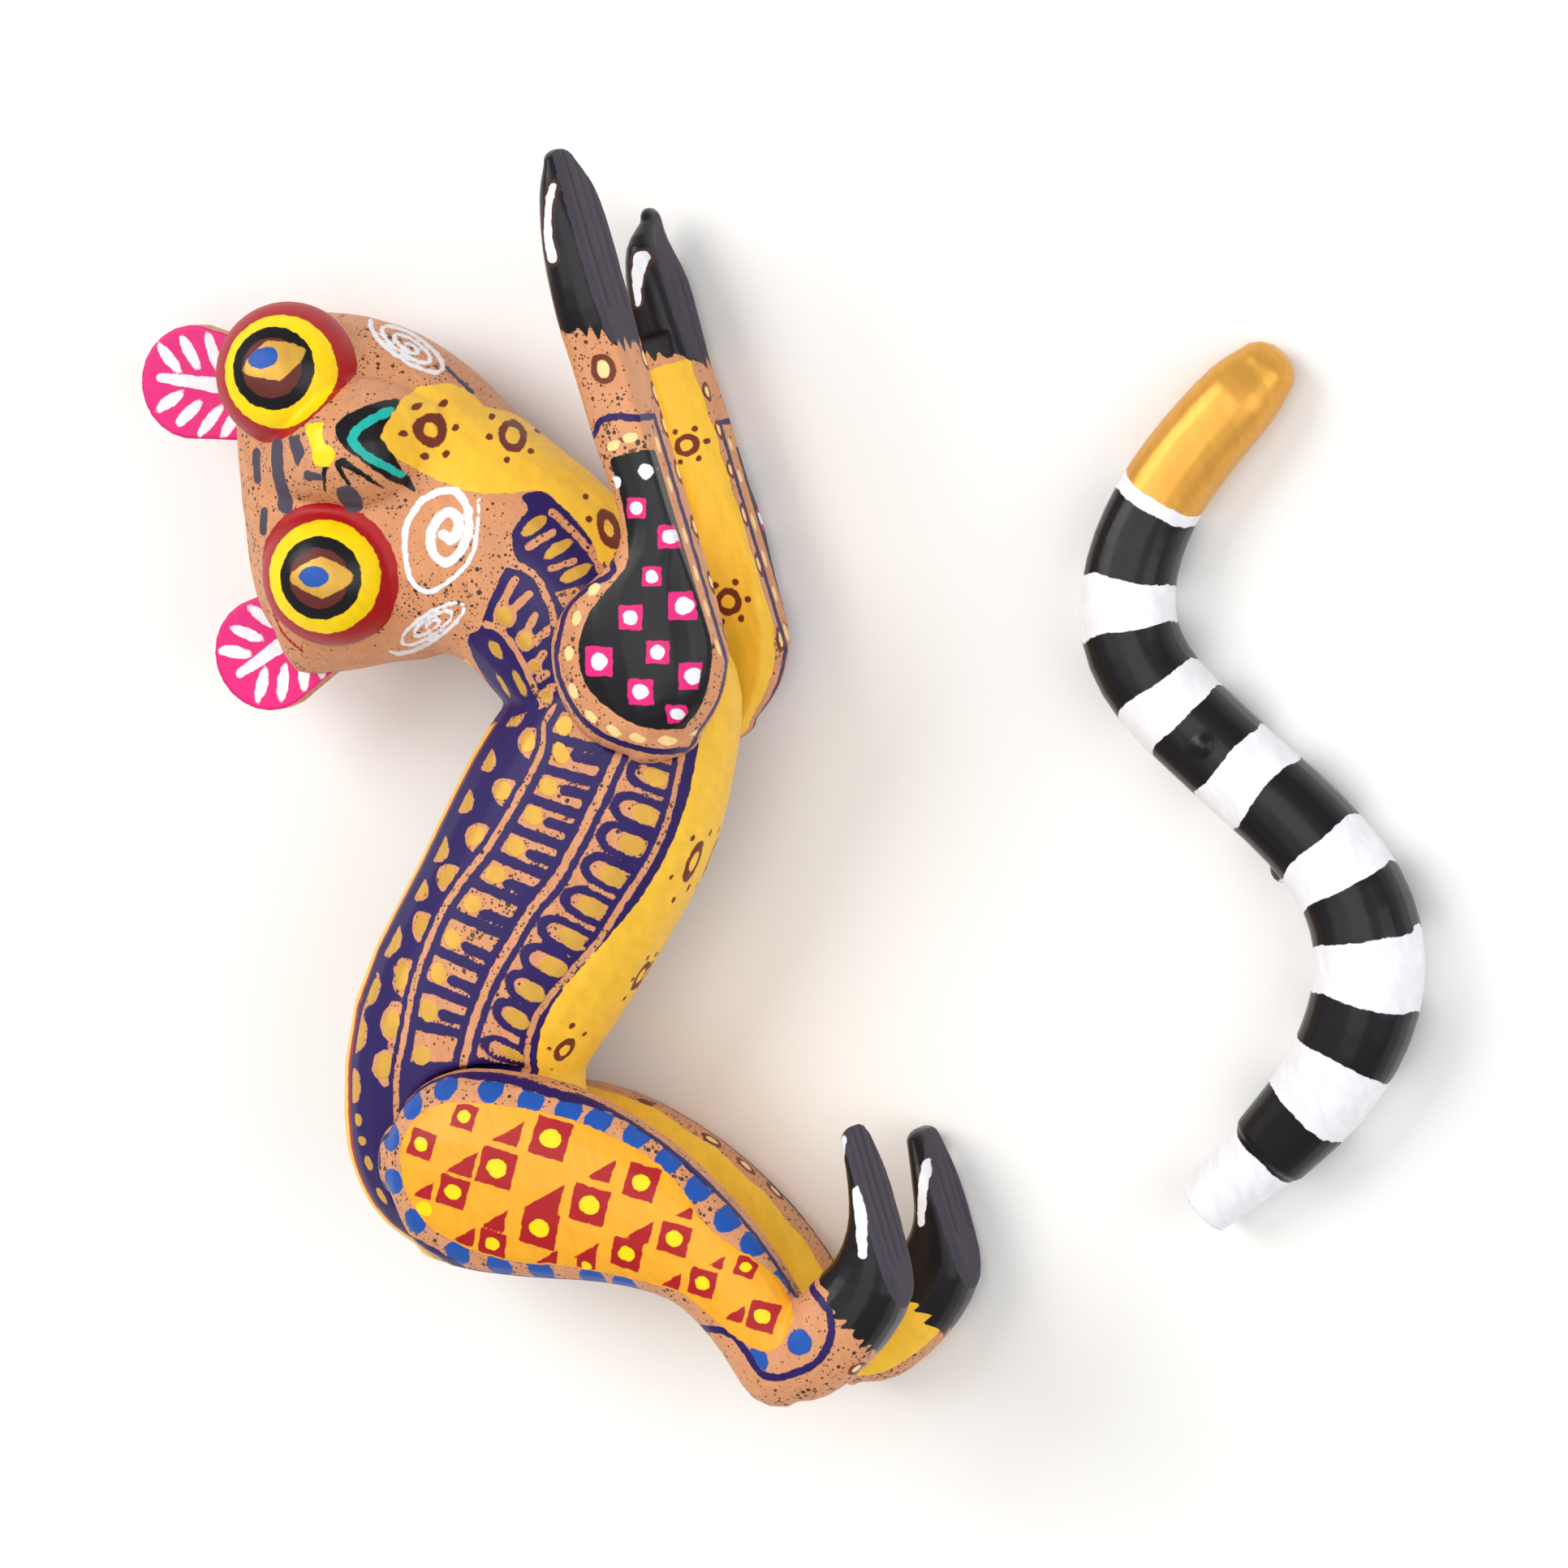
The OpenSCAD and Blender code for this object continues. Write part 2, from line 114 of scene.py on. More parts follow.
def along_chain(chain, x, y):
    """How far along a chain its place nearest to each point is, and how far beside it the point is."""
    best = np.full(np.shape(x), 999.0)
    reach, beside, done = np.zeros_like(best), np.zeros_like(best), 0.0
    for a, b in zip(chain[:, :2], chain[1:, :2]):
        ab = b - a
        length = np.hypot(*ab)
        k = np.clip(((x - a[0]) * ab[0] + (y - a[1]) * ab[1]) / length ** 2, 0, 1)
        away = np.hypot(x - a[0] - k * ab[0], y - a[1] - k * ab[1])
        near = away < best
        best = np.where(near, away, best)
        reach = np.where(near, done + k * length, reach)
        beside = np.where(near, ((x - a[0]) * ab[1] - (y - a[1]) * ab[0]) / length, beside)
        done += length
    return reach, beside

def unit(direction):
    return np.array(direction, float) / np.linalg.norm(direction)

def off_line(p, axis):
    """How far points lie along a line through zero, and how far off it."""
    along = (p * axis[:, None]).sum(0)
    return along, np.sqrt(np.maximum((p ** 2).sum(0) - along ** 2, 0))

def turned(x, y, angle):
    """x and y measured along a brush that is turned by an angle."""
    return x * math.cos(angle) + y * math.sin(angle), -x * math.sin(angle) + y * math.cos(angle)

# %% [markdown]
# A brush makes only a few marks: a dot, a stroke, a filled patch, an oval dab. Each helper
# returns how deep a point is inside the mark, in millimetres, so a larger number is further
# inside, zero is the edge, and marks can be joined or cut by taking the larger or smaller.
# %% Brush marks
def dot(q, centre, radius):
    return radius - np.hypot(q[0] - centre[0], q[1] - centre[1])

def stroke(q, points, width, end_width=None):
    """A stroke along a chain of points, which may taper. Points of 3 numbers follow the relief."""
    best, n = np.full(q.shape[1], -99.0), len(points[0])
    lengths = [np.linalg.norm(np.subtract(b, a)) + 1e-9 for a, b in zip(points, points[1:])]
    grows = 0 if end_width is None else end_width - width
    done, total = 0.0, sum(lengths)
    for a, b, length in zip(points, points[1:], lengths):
        a, ab = np.array(a, float), np.subtract(b, a)
        t = np.clip(((q[:n] - a[:, None]) * ab[:, None]).sum(0) / length ** 2, 0, 1)
        away = np.sqrt(((q[:n] - a[:, None] - ab[:, None] * t) ** 2).sum(0))
        wide = width + grows * (done + t * length) / total
        best = np.maximum(best, wide / 2 - away)
        done += length
    return best

def patch(q, points):
    """A filled patch inside a closed chain of points."""
    p = np.array(points, float)[:, :2]
    inside, away = np.zeros(q.shape[1], bool), np.full(q.shape[1], 99.0)
    for a, b in zip(p, np.roll(p, -1, 0)):
        ab = b - a
        t = np.clip(((q[0] - a[0]) * ab[0] + (q[1] - a[1]) * ab[1]) / (ab @ ab + 1e-12), 0, 1)
        away = np.minimum(away, np.hypot(q[0] - a[0] - t * ab[0], q[1] - a[1] - t * ab[1]))
        if a[1] != b[1]:
            crosses = (a[1] > q[1]) != (b[1] > q[1])
            inside ^= crosses & (q[0] < a[0] + (q[1] - a[1]) / (b[1] - a[1]) * ab[0])
    return np.where(inside, away, -away)

def oval(x, y, long, wide, slope=None):
    """An oval about zero with half sizes long and wide. Its depth in the middle is wide, or slope."""
    return (1 - np.hypot(x / long, y / wide)) * (slope or wide)

def dab(q, centre, along, long, wide):
    """An oval dab that lies in the direction along, on any side of the relief."""
    n = len(centre)
    along = tuple(along) + (0,) * (n - len(along))
    a, across = off_line(q[:n] - np.array(centre, float)[:, None], unit(along))
    return oval(a, across, long, wide)

def any_of(*marks):
    return np.maximum.reduce(marks)

def all_of(*marks):
    return np.minimum.reduce(marks)

def between(value, low, high):
    return np.minimum(value - low, high - value)

# %% [markdown]
# Real materials: the wood is copal, pale orange and dusted with fine dark specks from a
# flicked brush. The paints are matt acrylic under a thin clear varnish, so they are smooth and
# a little shiny. Ends of limbs and the tail rings are a glossier black enamel. Gold is a
# metallic paint, whose flakes scatter the light.
# %% Colours
def paint_colour(hex_code):
    """An sRGB hex colour as the linear numbers that a shader works in."""
    parts = [int(hex_code[k:k + 2], 16) / 255 for k in (1, 3, 5)]
    return tuple(v / 12.92 if v <= 0.04045 else ((v + 0.055) / 1.055) ** 2.4 for v in parts) + (1,)

POTS = {    # colour, roughness, share of metal
    "yellow": ("#F6C238", 0.42, 0),
    "violet": ("#240F56", 0.45, 0),
    "red": ("#A81018", 0.45, 0),
    "lemon": ("#FBD606", 0.4, 0),
    "black": ("#0F0C12", 0.3, 0),
    # grey-brown for the face marks: partly painted marks, partly painted shade beside the nose ridge
    "grey_mark_and_shade": ("#4E4656", 0.75, 0),
    # a lighter grey for the matt palms and soles: a painted sheen of the light on that side
    "palm_sheen": ("#443E49", 0.8, 0),
    "umber": ("#3E2420", 0.6, 0),
    "maroon": ("#60241E", 0.45, 0),
    "gold": ("#D4A344", 0.4, 0.3),
    "blue": ("#1850A6", 0.45, 0),
    "brown": ("#702C1A", 0.5, 0),
    "cream": ("#F7D592", 0.5, 0),
    "pink": ("#E01A78", 0.42, 0),
    "white": ("#ECEBF0", 0.42, 0),
    "turquoise": ("#17B5A8", 0.42, 0),
    "bright_yellow": ("#FBD81C", 0.4, 0),
    "amber": ("#F0A626", 0.38, 0),
    "bright_gold": ("#DA9E44", 0.38, 0.5),
}
COPAL = ("#CA865A", "#DC9E72")                   # the wood between its rings and on them
FINE_SPECKS, DUST = (0.8, 0.8, "#46342B"), (0.4, 1.0, "#6A4632")    # spacing in mm, largest reach, colour
EDGE = 0.06                                      # a coat fades out over this many millimetres
BARE_ROUGH, SHEEN = 0.5, 0.3                     # sanded wood, and the highlight under the varnish

def add_node(tree, kind, settings=None, links=None):
    """One node. A number stands for a socket where two have the same name."""
    node = tree.nodes.new(kind)
    for name, value in (settings or {}).items():
        if not isinstance(name, int) and hasattr(node, name):
            setattr(node, name, value)
        else:
            node.inputs[name].default_value = value
    for socket, source in (links or {}).items():
        tree.links.new(source, node.inputs[socket])
    return node

def reckon(tree, operation, settings, links):
    """One sum on the shader's numbers."""
    return add_node(tree, "ShaderNodeMath", {"operation": operation, **settings}, links).outputs[0]

def laid_over(tree, mask, before, after):
    """A number of the finish where a coat covers what lay there before, a number or a socket."""
    if isinstance(before, float):
        return add_node(tree, "ShaderNodeMix", {2: before, 3: after}, {0: mask}).outputs[0]
    return add_node(tree, "ShaderNodeMix", {3: after}, {0: mask, 2: before}).outputs[0]

# %% [markdown]
# Hand painting is built as it is done: the sanded wood first, then each colour over the last.
# Every coat reads its own attribute, wobbles its edge a little as a brush does, and is a
# slightly raised film, so the bump node sees the same marks as the colour.
# %% Paint over wood
def noise(tree, place, scale, detail, **settings):
    settings = {"Scale": scale, "Detail": detail, **settings}
    return add_node(tree, "ShaderNodeTexNoise", settings, {"Vector": place}).outputs[0]

def sanded_wood(tree, place, speck_share):
    """Pale wood with a faint ring figure about 3 mm apart, flicked with dark specks."""
    figure = add_node(tree, "ShaderNodeMapping", {"Scale": (320, 60, 320)}, {"Vector": place}).outputs[0]
    grain = noise(tree, figure, 1.0, 4.0, Roughness=0.6)
    shades = {1: paint_colour(COPAL[0]), 2: paint_colour(COPAL[1])}
    colour = add_node(tree, "ShaderNodeMixRGB", shades, {0: grain}).outputs[0]
    cloud = noise(tree, place, 110.0, 2.0)
    for spacing, most, dark in (FINE_SPECKS, DUST):
        cells = add_node(tree, "ShaderNodeTexVoronoi", {"Scale": 1000 / spacing}, {"Vector": place})
        size = add_node(tree, "ShaderNodeSeparateColor", {}, {0: cells.outputs["Color"]}).outputs[0]
        size = reckon(tree, "MULTIPLY", {}, {0: size, 1: size})    # most specks are tiny
        size = reckon(tree, "MULTIPLY", {}, {0: size, 1: cloud})
        reach = reckon(tree, "MULTIPLY", {1: most * speck_share}, {0: size})
        speck = reckon(tree, "SUBTRACT", {}, {0: reach, 1: cells.outputs["Distance"]})
        speck = add_node(tree, "ShaderNodeMapRange", {1: 0.0, 2: 0.06}, {0: speck}).outputs[0]
        colour = add_node(tree, "ShaderNodeMixRGB", {2: paint_colour(dark)}, {0: speck, 1: colour}).outputs[0]
    return colour

def painted_wood(name, coats, speck_share=1.0):
    """Copal with coats of acrylic paint: satin wood, and a smooth film with soft brush streaks."""
    material = bpy.data.materials.new(name)
    material.use_nodes = True
    tree = material.node_tree
    shader = tree.nodes["Principled BSDF"]
    place = add_node(tree, "ShaderNodeTexCoord").outputs["Object"]
    colour = sanded_wood(tree, place, speck_share)
    rough, metal, film = BARE_ROUGH, 0.0, None
    # a brush edge wanders by a tenth of a millimetre over about 1 mm
    edge = reckon(tree, "MULTIPLY_ADD", {1: 0.5, 2: -0.25}, {0: noise(tree, place, 900.0, 2.0)})
    for coat in coats:
        hex_code, coat_rough, coat_metal = POTS[coat]
        depth = add_node(tree, "ShaderNodeAttribute", {"attribute_name": "coat_" + coat}).outputs["Fac"]
        depth = reckon(tree, "ADD", {}, {0: depth, 1: edge})
        mask = add_node(tree, "ShaderNodeMapRange", {1: -EDGE, 2: EDGE}, {0: depth}).outputs[0]
        paint = {2: paint_colour(hex_code)}
        colour = add_node(tree, "ShaderNodeMixRGB", paint, {0: mask, 1: colour}).outputs[0]
        rough = laid_over(tree, mask, rough, coat_rough)
        if coat_metal or not isinstance(metal, float):
            metal = laid_over(tree, mask, metal, coat_metal)
        film = mask if film is None else reckon(tree, "MAXIMUM", {}, {0: film, 1: mask})
    # brush streaks: the film is a little thicker and lighter along each pull of the brush
    pull = {"Scale": (900, 260, 500), "Rotation": (0, 0, 0.6)}
    pull = add_node(tree, "ShaderNodeMapping", pull, {"Vector": place}).outputs[0]
    streak = noise(tree, pull, 1.0, 3.0)
    light = {1: 0.3, 2: 0.7, 3: 0.93, 4: 1.06}    # from 7 % darker to 6 % lighter
    light = add_node(tree, "ShaderNodeMapRange", light, {0: streak}).outputs[0]
    colour = add_node(tree, "ShaderNodeHueSaturation", {}, {"Value": light, "Color": colour}).outputs[0]
    tree.links.new(colour, shader.inputs["Base Color"])
    if not isinstance(rough, float):
        tree.links.new(rough, shader.inputs["Roughness"])
    if not isinstance(metal, float):
        tree.links.new(metal, shader.inputs["Metallic"])
    raised = {0: streak} if film is None else {0: streak, 2: film}
    height = reckon(tree, "MULTIPLY_ADD", {1: 0.35}, raised)
    relief = {"Strength": 0.5, "Distance": 0.00012}
    bump = add_node(tree, "ShaderNodeBump", relief, {"Height": height}).outputs[0]
    tree.links.new(bump, shader.inputs["Normal"])
    shader.inputs["Specular IOR Level"].default_value = SHEEN
    print(name, "coats:", ", ".join(coats))
    return material

def put_on(piece, coats, material_name):
    """Stores each corner's depth in each coat, in painting order, and gives the piece its material."""
    for coat, depth in coats.items():
        layer = piece.data.attributes.new("coat_" + coat, "FLOAT", "POINT")
        layer.data.foreach_set("value", np.clip(depth, -3, 3).astype(np.float32))
    piece.data.materials.append(painted_wood(material_name, list(coats)))

# %% [markdown]
# The body is painted in two ways. The trunk has rows of ornament that run along the flank, so
# they need a grid that bends with the trunk: t runs along its middle line from rump to
# shoulder and g round its surface, 0 on the ridge of the back and 47 on the belly. The neck
# and the face are painted freely, straight on the side view.
# %% The flank grid
TRUNK = [(-43, 57, 7.5), (-38, 56.5, 12.5), (-31.5, 54.5, 15), (-19, 50, 15), (-8, 38.5, 16),
         (3.5, 26.5, 16), (12, 19, 14.5), (19, 13, 11.5), (23.5, 9.5, 6.5)]    # f, u, half width
MM_A_DEGREE = 0.262      # g runs from the ridge round to the belly, 47 mm over half a turn
HALF_BOARD = 12          # half the trunk's usual thickness, in mm

def flank_grid(q):
    rows = bend(TRUNK, 8)
    t, beside = along_chain(rows, q[0], q[1])
    ends = np.hypot(*np.diff(rows[:, :2], axis=0).T)
    half = np.interp(t, np.append(0, np.cumsum(ends)), rows[:, 2])
    g = MM_A_DEGREE * (180 - np.degrees(np.arctan2(np.abs(q[2]) / HALF_BOARD, beside / half)))
    return t, g

# %% Soften the body
body = soften("body_carving", 0.00042, 2, "figure")
q = side_view(body)
t, g = flank_grid(q)
near_side = q[2]
neck_from = np.where(q[1] > 35, 26, 17.2)      # f at which the neck's own pattern takes over
neck_from = np.where(q[1] < 14, 22, neck_from)
trunk = neck_from - q[0]
print("flank t %.0f to %.0f, g %.0f to %.0f" % (t.min(), t.max(), g.min(), g.max()))

# %% [markdown]
# Flank ornament, from the back to the belly: a yellow ridge edged in red, a violet band with two
# rows of gold leaves, a bare line, a ladder of cells, a bare line, a row of loops, a bare line and
# the yellow belly. The bare lines are wood left free of violet, so they are taken out of the coat.
# %% Paint the flank
def rail(points):
    line = bend(points)
    return np.interp(t, line[:, 0], line[:, 1])

rail_1 = rail([
    (21, 18.5), (25, 18.7), (31, 17.1), (35, 16.4), (39.5, 15.9), (44.5, 16.4), (51, 17.5),
    (62, 17.8), (65, 17.5), (67.6, 16.1)
])
rail_2 = rail([
    (26, 27), (31, 26.2), (36, 25.4), (40.5, 25.3), (46, 25.5), (51, 26.3), (61, 26.6), (68, 27.1)
])
rail_3 = rail([
    (26, 35.2), (33, 32.8), (37, 32.4), (41.5, 33.1), (46.5, 34.2), (52, 34.5), (57, 35.1),
    (61, 35.5), (69.5, 35.4)
])
violet_edge = rail([
    (26, 36.8), (30.5, 35), (35, 33.6), (39, 33.4), (43, 34.1), (48.5, 35.3), (54, 36.5), (60, 37.2),
    (66, 37.7)
])
# places along the flank: the ladder's rungs, the short bar and the gold blob in each cell, the loops
RUNGS = [70.8, 66.6, 62.5, 58.1, 53.7, 49.5, 45.2, 40.5, 35.2, 30.6, 26.2, 21.5]
FINGERS = [65.5, 61, 56.4, 51.8, 47.2, 42.5, 37.5, 32.9, 28.5]
BLOBS = [68.4, 65.2, 60.6, 56.4, 51.8, 47.4, 42.6, 37.3, 32.7, 28.3, 23.4]
LOOPS = [67.2, 62.6, 58.8, 54.6, 50, 45.3, 41.1, 37.3, 33.3, 28]
# and the two rows of leaves in the violet band
FRONT_LEAVES = [64.5, 57, 50, 43.5, 36, 30, 25.5, 21.5]
BACK_LEAVES = [66.3, 59, 52.5, 45.5, 39.5, 32, 27, 23.5, 19]
BACK_ROW = 10.2                                  # where the back row stands round the body
FINE = 0.42                                      # half the width of a fine brush line
leaning = t - 0.2 * (g - 19)                     # rungs lean forwards towards the belly
ridge = np.interp(t, [16, 24, 34], [9.8, 9.2, 7.6])    # where the violet of the flank begins
bare_lines = any_of(FINE - abs(g - rail_1), 0.5 - abs(g - rail_2), FINE - abs(g - rail_3))
rungs = any_of(*[0.68 - abs(leaning - a) for a in RUNGS])
finger_end = np.minimum(g - (rail_1 + 4.8), 0)
fingers = any_of(*[0.7 - np.hypot(leaning - a + 0.4, finger_end) for a in FINGERS])
cell_bare = all_of(between(g, rail_1 + 1.45, rail_2 - 1.45), t - 22.2, -rungs, -fingers)
loop_top = 0.8 * np.minimum(g - (rail_2 + 4.0), 0)
arch_line = any_of(*[0.48 - abs(np.hypot(t - a, loop_top) - 1.55) for a in LOOPS])
loop_bare = all_of(between(g, rail_2 + 1.35, rail_3 - 1.2), t - 25.5, -arch_line)
flat = np.stack([t, g])
front_teeth = all_of(
    rail_1 - 1.15 - g,
    any_of(*[oval(t - a, g - rail_1 + 1.1, 1.95, 2.8, 2.2) for a in FRONT_LEAVES]))
back_teeth = all_of(
    g - BACK_ROW - 0.1,
    any_of(*[oval(t - a, g - BACK_ROW, 1.75, 2.5, 1.9) for a in BACK_LEAVES]))
leaves = any_of(
    *[oval(t - a, g - rail_1 + 2.2, 1.4, 1.1) for a in FRONT_LEAVES],
    *[oval(t - a, g - BACK_ROW - 1.1, 1.3, 0.95) for a in BACK_LEAVES])
rump_dots = any_of(*[dot(flat, c, 0.8) for c in [(15.5, 12), (12.5, 12.5), (9.5, 13), (6, 13)]])
violet_trunk = all_of(
    between(g, ridge, violet_edge), -bare_lines, -cell_bare, -loop_bare, -back_teeth, -front_teeth)
leaf_gold = all_of(any_of(leaves, rump_dots), g - 9)
cell_gold = any_of(*[1.2 - np.hypot(t - a, g - (rail_1 + 2.8)) for a in BLOBS])
loop_middle = rail_3 - np.where(t > 45, 2.9, 2.1)
loop_gold = any_of(*[oval(g - loop_middle, t - a, 1.7, 1.15) for a in LOOPS])
belly = g - (violet_edge - 0.2)

# %% [markdown]
# Neck and throat. The throat is yellow with small paw-like rings, and its border is violet.
# Behind the border lie three leaning rows of cells, with leaves of gold in them.
# %% Paint the neck
THROAT_EDGE = bend([
    (59.8, 30.4), (58.8, 31.4), (54.8, 33.9), (49.9, 32.2), (47.7, 30), (45.4, 26.8), (43.9, 22.9),
    (42.9, 18.7), (40.7, 17), (37.5, 15.1), (34.7, 14), (31.5, 12.8), (29, 8), (18, 5)
])
THROAT_FRONT = [(18, -8), (60, -8), (62, 12), (57, 20), (55.3, 24.8), (58, 26.1), (59.3, 28.1)]
throat_side = patch(q, [*THROAT_EDGE, *THROAT_FRONT])
throat = throat_side + 0.45 * np.minimum(q[2], 0)      # it narrows round the far side
tilted = np.stack([q[0], q[1] + 0.315 * q[2], q[2]])   # the side view of a painter who leans over the belly
NECK = bend([
    (14, 33), (20, 33.5), (27.8, 33.3), (28.8, 30.6), (30.1, 29.6), (33, 26.8), (34.9, 24.8),
    (35.1, 23), (36.2, 23.2), (38.5, 23), (39.9, 22), (41.2, 20.4), (43, 21), (42.9, 18.7),
    (40.7, 17), (37.5, 15.1), (34.7, 14), (32, 13.7), (31.5, 12.8), (22, 12), (15, 18)
], 3, True)
neck_violet = patch(q, NECK)
# bare wood left in the neck's violet: long lines and their widths, short cells, round cell ends
LONG_LINES = [
    ([(29.2, 29.7), (28.1, 28), (26.1, 26.9), (23.2, 26.1), (19.7, 25.7), (17.3, 25.2), (14.7, 25.3)], 0.9),
    ([(35.2, 23.8), (34.5, 22.6), (33.1, 21.4), (30.8, 20.7), (28.7, 20.4), (26.8, 20.5)], 0.9),
    ([(40, 17.9), (37.7, 16.4), (35.2, 15), (32.9, 14), (31.3, 13.6)], 0.8),
]
SHORT_CELLS = [
    [(33.3, 24), (30.9, 26.5)], [(31.1, 22.6), (30, 25)], [(28.3, 22.7), (26.8, 24.3)],
    [(26.1, 21.6), (25.3, 23.7)], [(23.6, 22.9), (22.5, 24.4)], [(21.1, 23.4), (20.9, 24.6)],
    [(19.3, 23), (19.3, 23.6)],
]
CELL_ENDS = [    # middle, bare radius, radius of the gold in it
    ((29.4, 26.7), 1.6, 1.15), ((25.8, 24.8), 1.4, 1.0), ((22.4, 24.6), 1.0, 0.7), ((18.5, 24.4), 1.0, 0.75),
]
NECK_LEAVES = [    # middle, direction, half length, half width
    ((39, 20.1), (0.41, -0.86), 1.75, 0.85), ((35.4, 18), (0.3, -1), 1.9, 0.7),
    ((31.9, 16.5), (0.2, -1), 2, 0.8), ((25.8, 29.4), (1.6, 0.6), 1.4, 0.75),
    ((21, 27.6), (1, 0.12), 1.75, 0.6), ((21.3, 30.4), (1, 0.2), 1.5, 0.4),
]
neck_bare = any_of(
    *[stroke(q, bend(line), width) for line, width in LONG_LINES],
    *[stroke(q, cell, 1.05) for cell in SHORT_CELLS],
    *[dot(q, middle, bare) for middle, bare, gold in CELL_ENDS],
    stroke(q, [(36.7, 21.3), (37.5, 18.3)], 1),
    stroke(q, [(33.3, 19.4), (33.4, 16.4)], 0.8),
    patch(q, [(30.3, 19.4), (30.3, 15.4), (28.1, 18.9)]))
neck_leaves = any_of(
    *[dab(q, *leaf) for leaf in NECK_LEAVES],
    *[dot(q, middle, gold) for middle, bare, gold in CELL_ENDS])
in_neck = all_of(-trunk, 46 - q[0])
throat_line = stroke(tilted, [(61.8, 28.4), (57.4, 25.8)], 0.5)
violet_neck = any_of(all_of(neck_violet, -neck_bare, in_neck), throat_line)
leaf_gold = np.where(trunk > 0, any_of(leaf_gold, cell_gold, loop_gold), neck_leaves)
leaf_gold = np.where((trunk <= 0) & (neck_violet < 0), -3, leaf_gold)
violet = np.where(trunk > 0, violet_trunk, violet_neck)

# %% [markdown]
# Each paw mark is a small ring with four to six dots about it.
# %% Paw marks
def paw(q, centre, size=1.25, stretch=1.0, dots=None):
    """A ring, longer along f by the share stretch. Its dots are given, or six lie around it."""
    if dots is None:
        turns = [0.4 + 2 * math.pi * k / 6 for k in range(6)]
        wide, high = (size + 1.25) * stretch, size + 1.15
        dots = [(centre[0] + wide * math.cos(a), centre[1] + high * math.sin(a)) for a in turns]
    ring = FINE - abs(size - 0.1 - np.hypot((q[0] - centre[0]) / stretch, q[1] - centre[1]))
    return any_of(ring, *[dot(q, c, 0.45) for c in dots])

paws = any_of(
    paw(q, (54, 29.5), 1.15, 1.5),
    paw(tilted, (50.7, 22.3), 1.45, 1.25,
        [(53.8, 24.2), (50.8, 19.1), (48.2, 20.6), (47.9, 23.8), (51.3, 25.2)]),
    paw(tilted, (36.1, 13.7), 1.1, 1.9, [(40.8, 15.4), (37.9, 15.8), (32.6, 13.6), (34.6, 11.4)]),
    paw(q, (28, 3)))
belly_paws = any_of(
    paw(flat, (59, 42.8), 1.4, 1.4, [(62.4, 44.9), (61.6, 40.5), (57, 39.4), (54.4, 42.1), (55.9, 45.1)]),
    paw(flat, (32, 38.8), 1.25, 1.4, [(35.7, 37.4), (35.1, 40.4), (31.4, 36.4), (27.4, 38.4), (29, 41)]),
    paw(flat, (43.4, 46), 1.4, 1.3))
brown = np.where(trunk > 0, belly_paws, paws)
yellow = np.where(trunk > 0, any_of(belly, ridge - 0.6 - g), throat)
red_line = np.where(trunk > 0, between(g, ridge - 0.8, ridge + 0.1), -3)

# %% [markdown]
# The face. Each eye is a ball that the painter goes round with a full brush: red, lemon, black and
# maroon rings, then a gold almond with a blue iris. The rings turn about the line along which
# the animal looks. The nose is a bright yellow drop, the mouth a black V with a turquoise lip.
# %% Paint the eyes
RING_RADII = (9.1, 7.0, 5.15, 3.75)              # red, lemon, black, maroon
# the two ways across a lying animal's eye along which its almond is laid, on the table
TO_THE_RIGHT, TO_THE_TOP = np.array([0.914, -0.284, -0.288]), np.array([0.271, 0.959, -0.085])

def eye(centre, looks, almond, iris, tilt):
    """Rings about a ball. looks gives the line that the red, the lemon and the two dark rings turn about."""
    p = on_table(q) - on_table(centre)[:, None]
    rings = []
    for radius, look in zip(RING_RADII, (*looks, looks[-1])):
        deep, off = off_line(p, unit(look))
        rings.append(all_of(radius - off, deep - 0.5))
    facing = off_line(p, unit(looks[-1]))[0]
    a, b = (p * TO_THE_RIGHT[:, None]).sum(0), (p * TO_THE_TOP[:, None]).sum(0)
    x, y = turned(a - almond[0], b - almond[1], tilt)
    long, wide = 4.1, 1.9
    gold = (1 - abs(x) / long - (abs(y) / wide * 0.72) ** 1.6) * wide
    x, y = turned(a - iris[0], b - iris[1], tilt)
    return rings, all_of(gold, facing), all_of(oval(x, y, 1.9, 1.3), facing)

eye_front = eye((66, 45.8, 7), ((0.12, 0.19, 0.97), (0.2, 0.03, 0.96), (0.13, 0.1, 0.97)),
                (-1.3, 1.3), (-2.6, 1.6), 0.3)
eye_rear = eye((40.7, 47.4, 7), ((0.08, -0.03, 1), (0.115, -0.04, 0.99), (0.1, -0.04, 1)),
               (-1.2, -0.7), (-2.2, -0.6), 0.0)
red_ring, lemon_ring, black_ring, maroon_ring = [any_of(a, b) for a, b in zip(eye_front[0], eye_rear[0])]

# %% Paint the face
face = near_side - 2
MOUTH = bend([
    (58.7, 31.6), (59, 33.4), (58.7, 35.9), (58, 37.6), (56.9, 38.2), (54.9, 37.8), (52.4, 36.3),
    (49.4, 34.9), (47.2, 33.1), (49, 33.2), (51.9, 33.2), (54.7, 33.7), (56.6, 32.6)
], 3, True)
LIP = bend([(57.5, 32.7), (56.8, 34.8), (55.5, 36.6), (53.2, 35.8), (51.5, 34.7), (49.8, 33.6)])
mouth = all_of(patch(q, MOUTH), face)
lip = all_of(stroke(q, LIP, 1.15, 0.9), face)
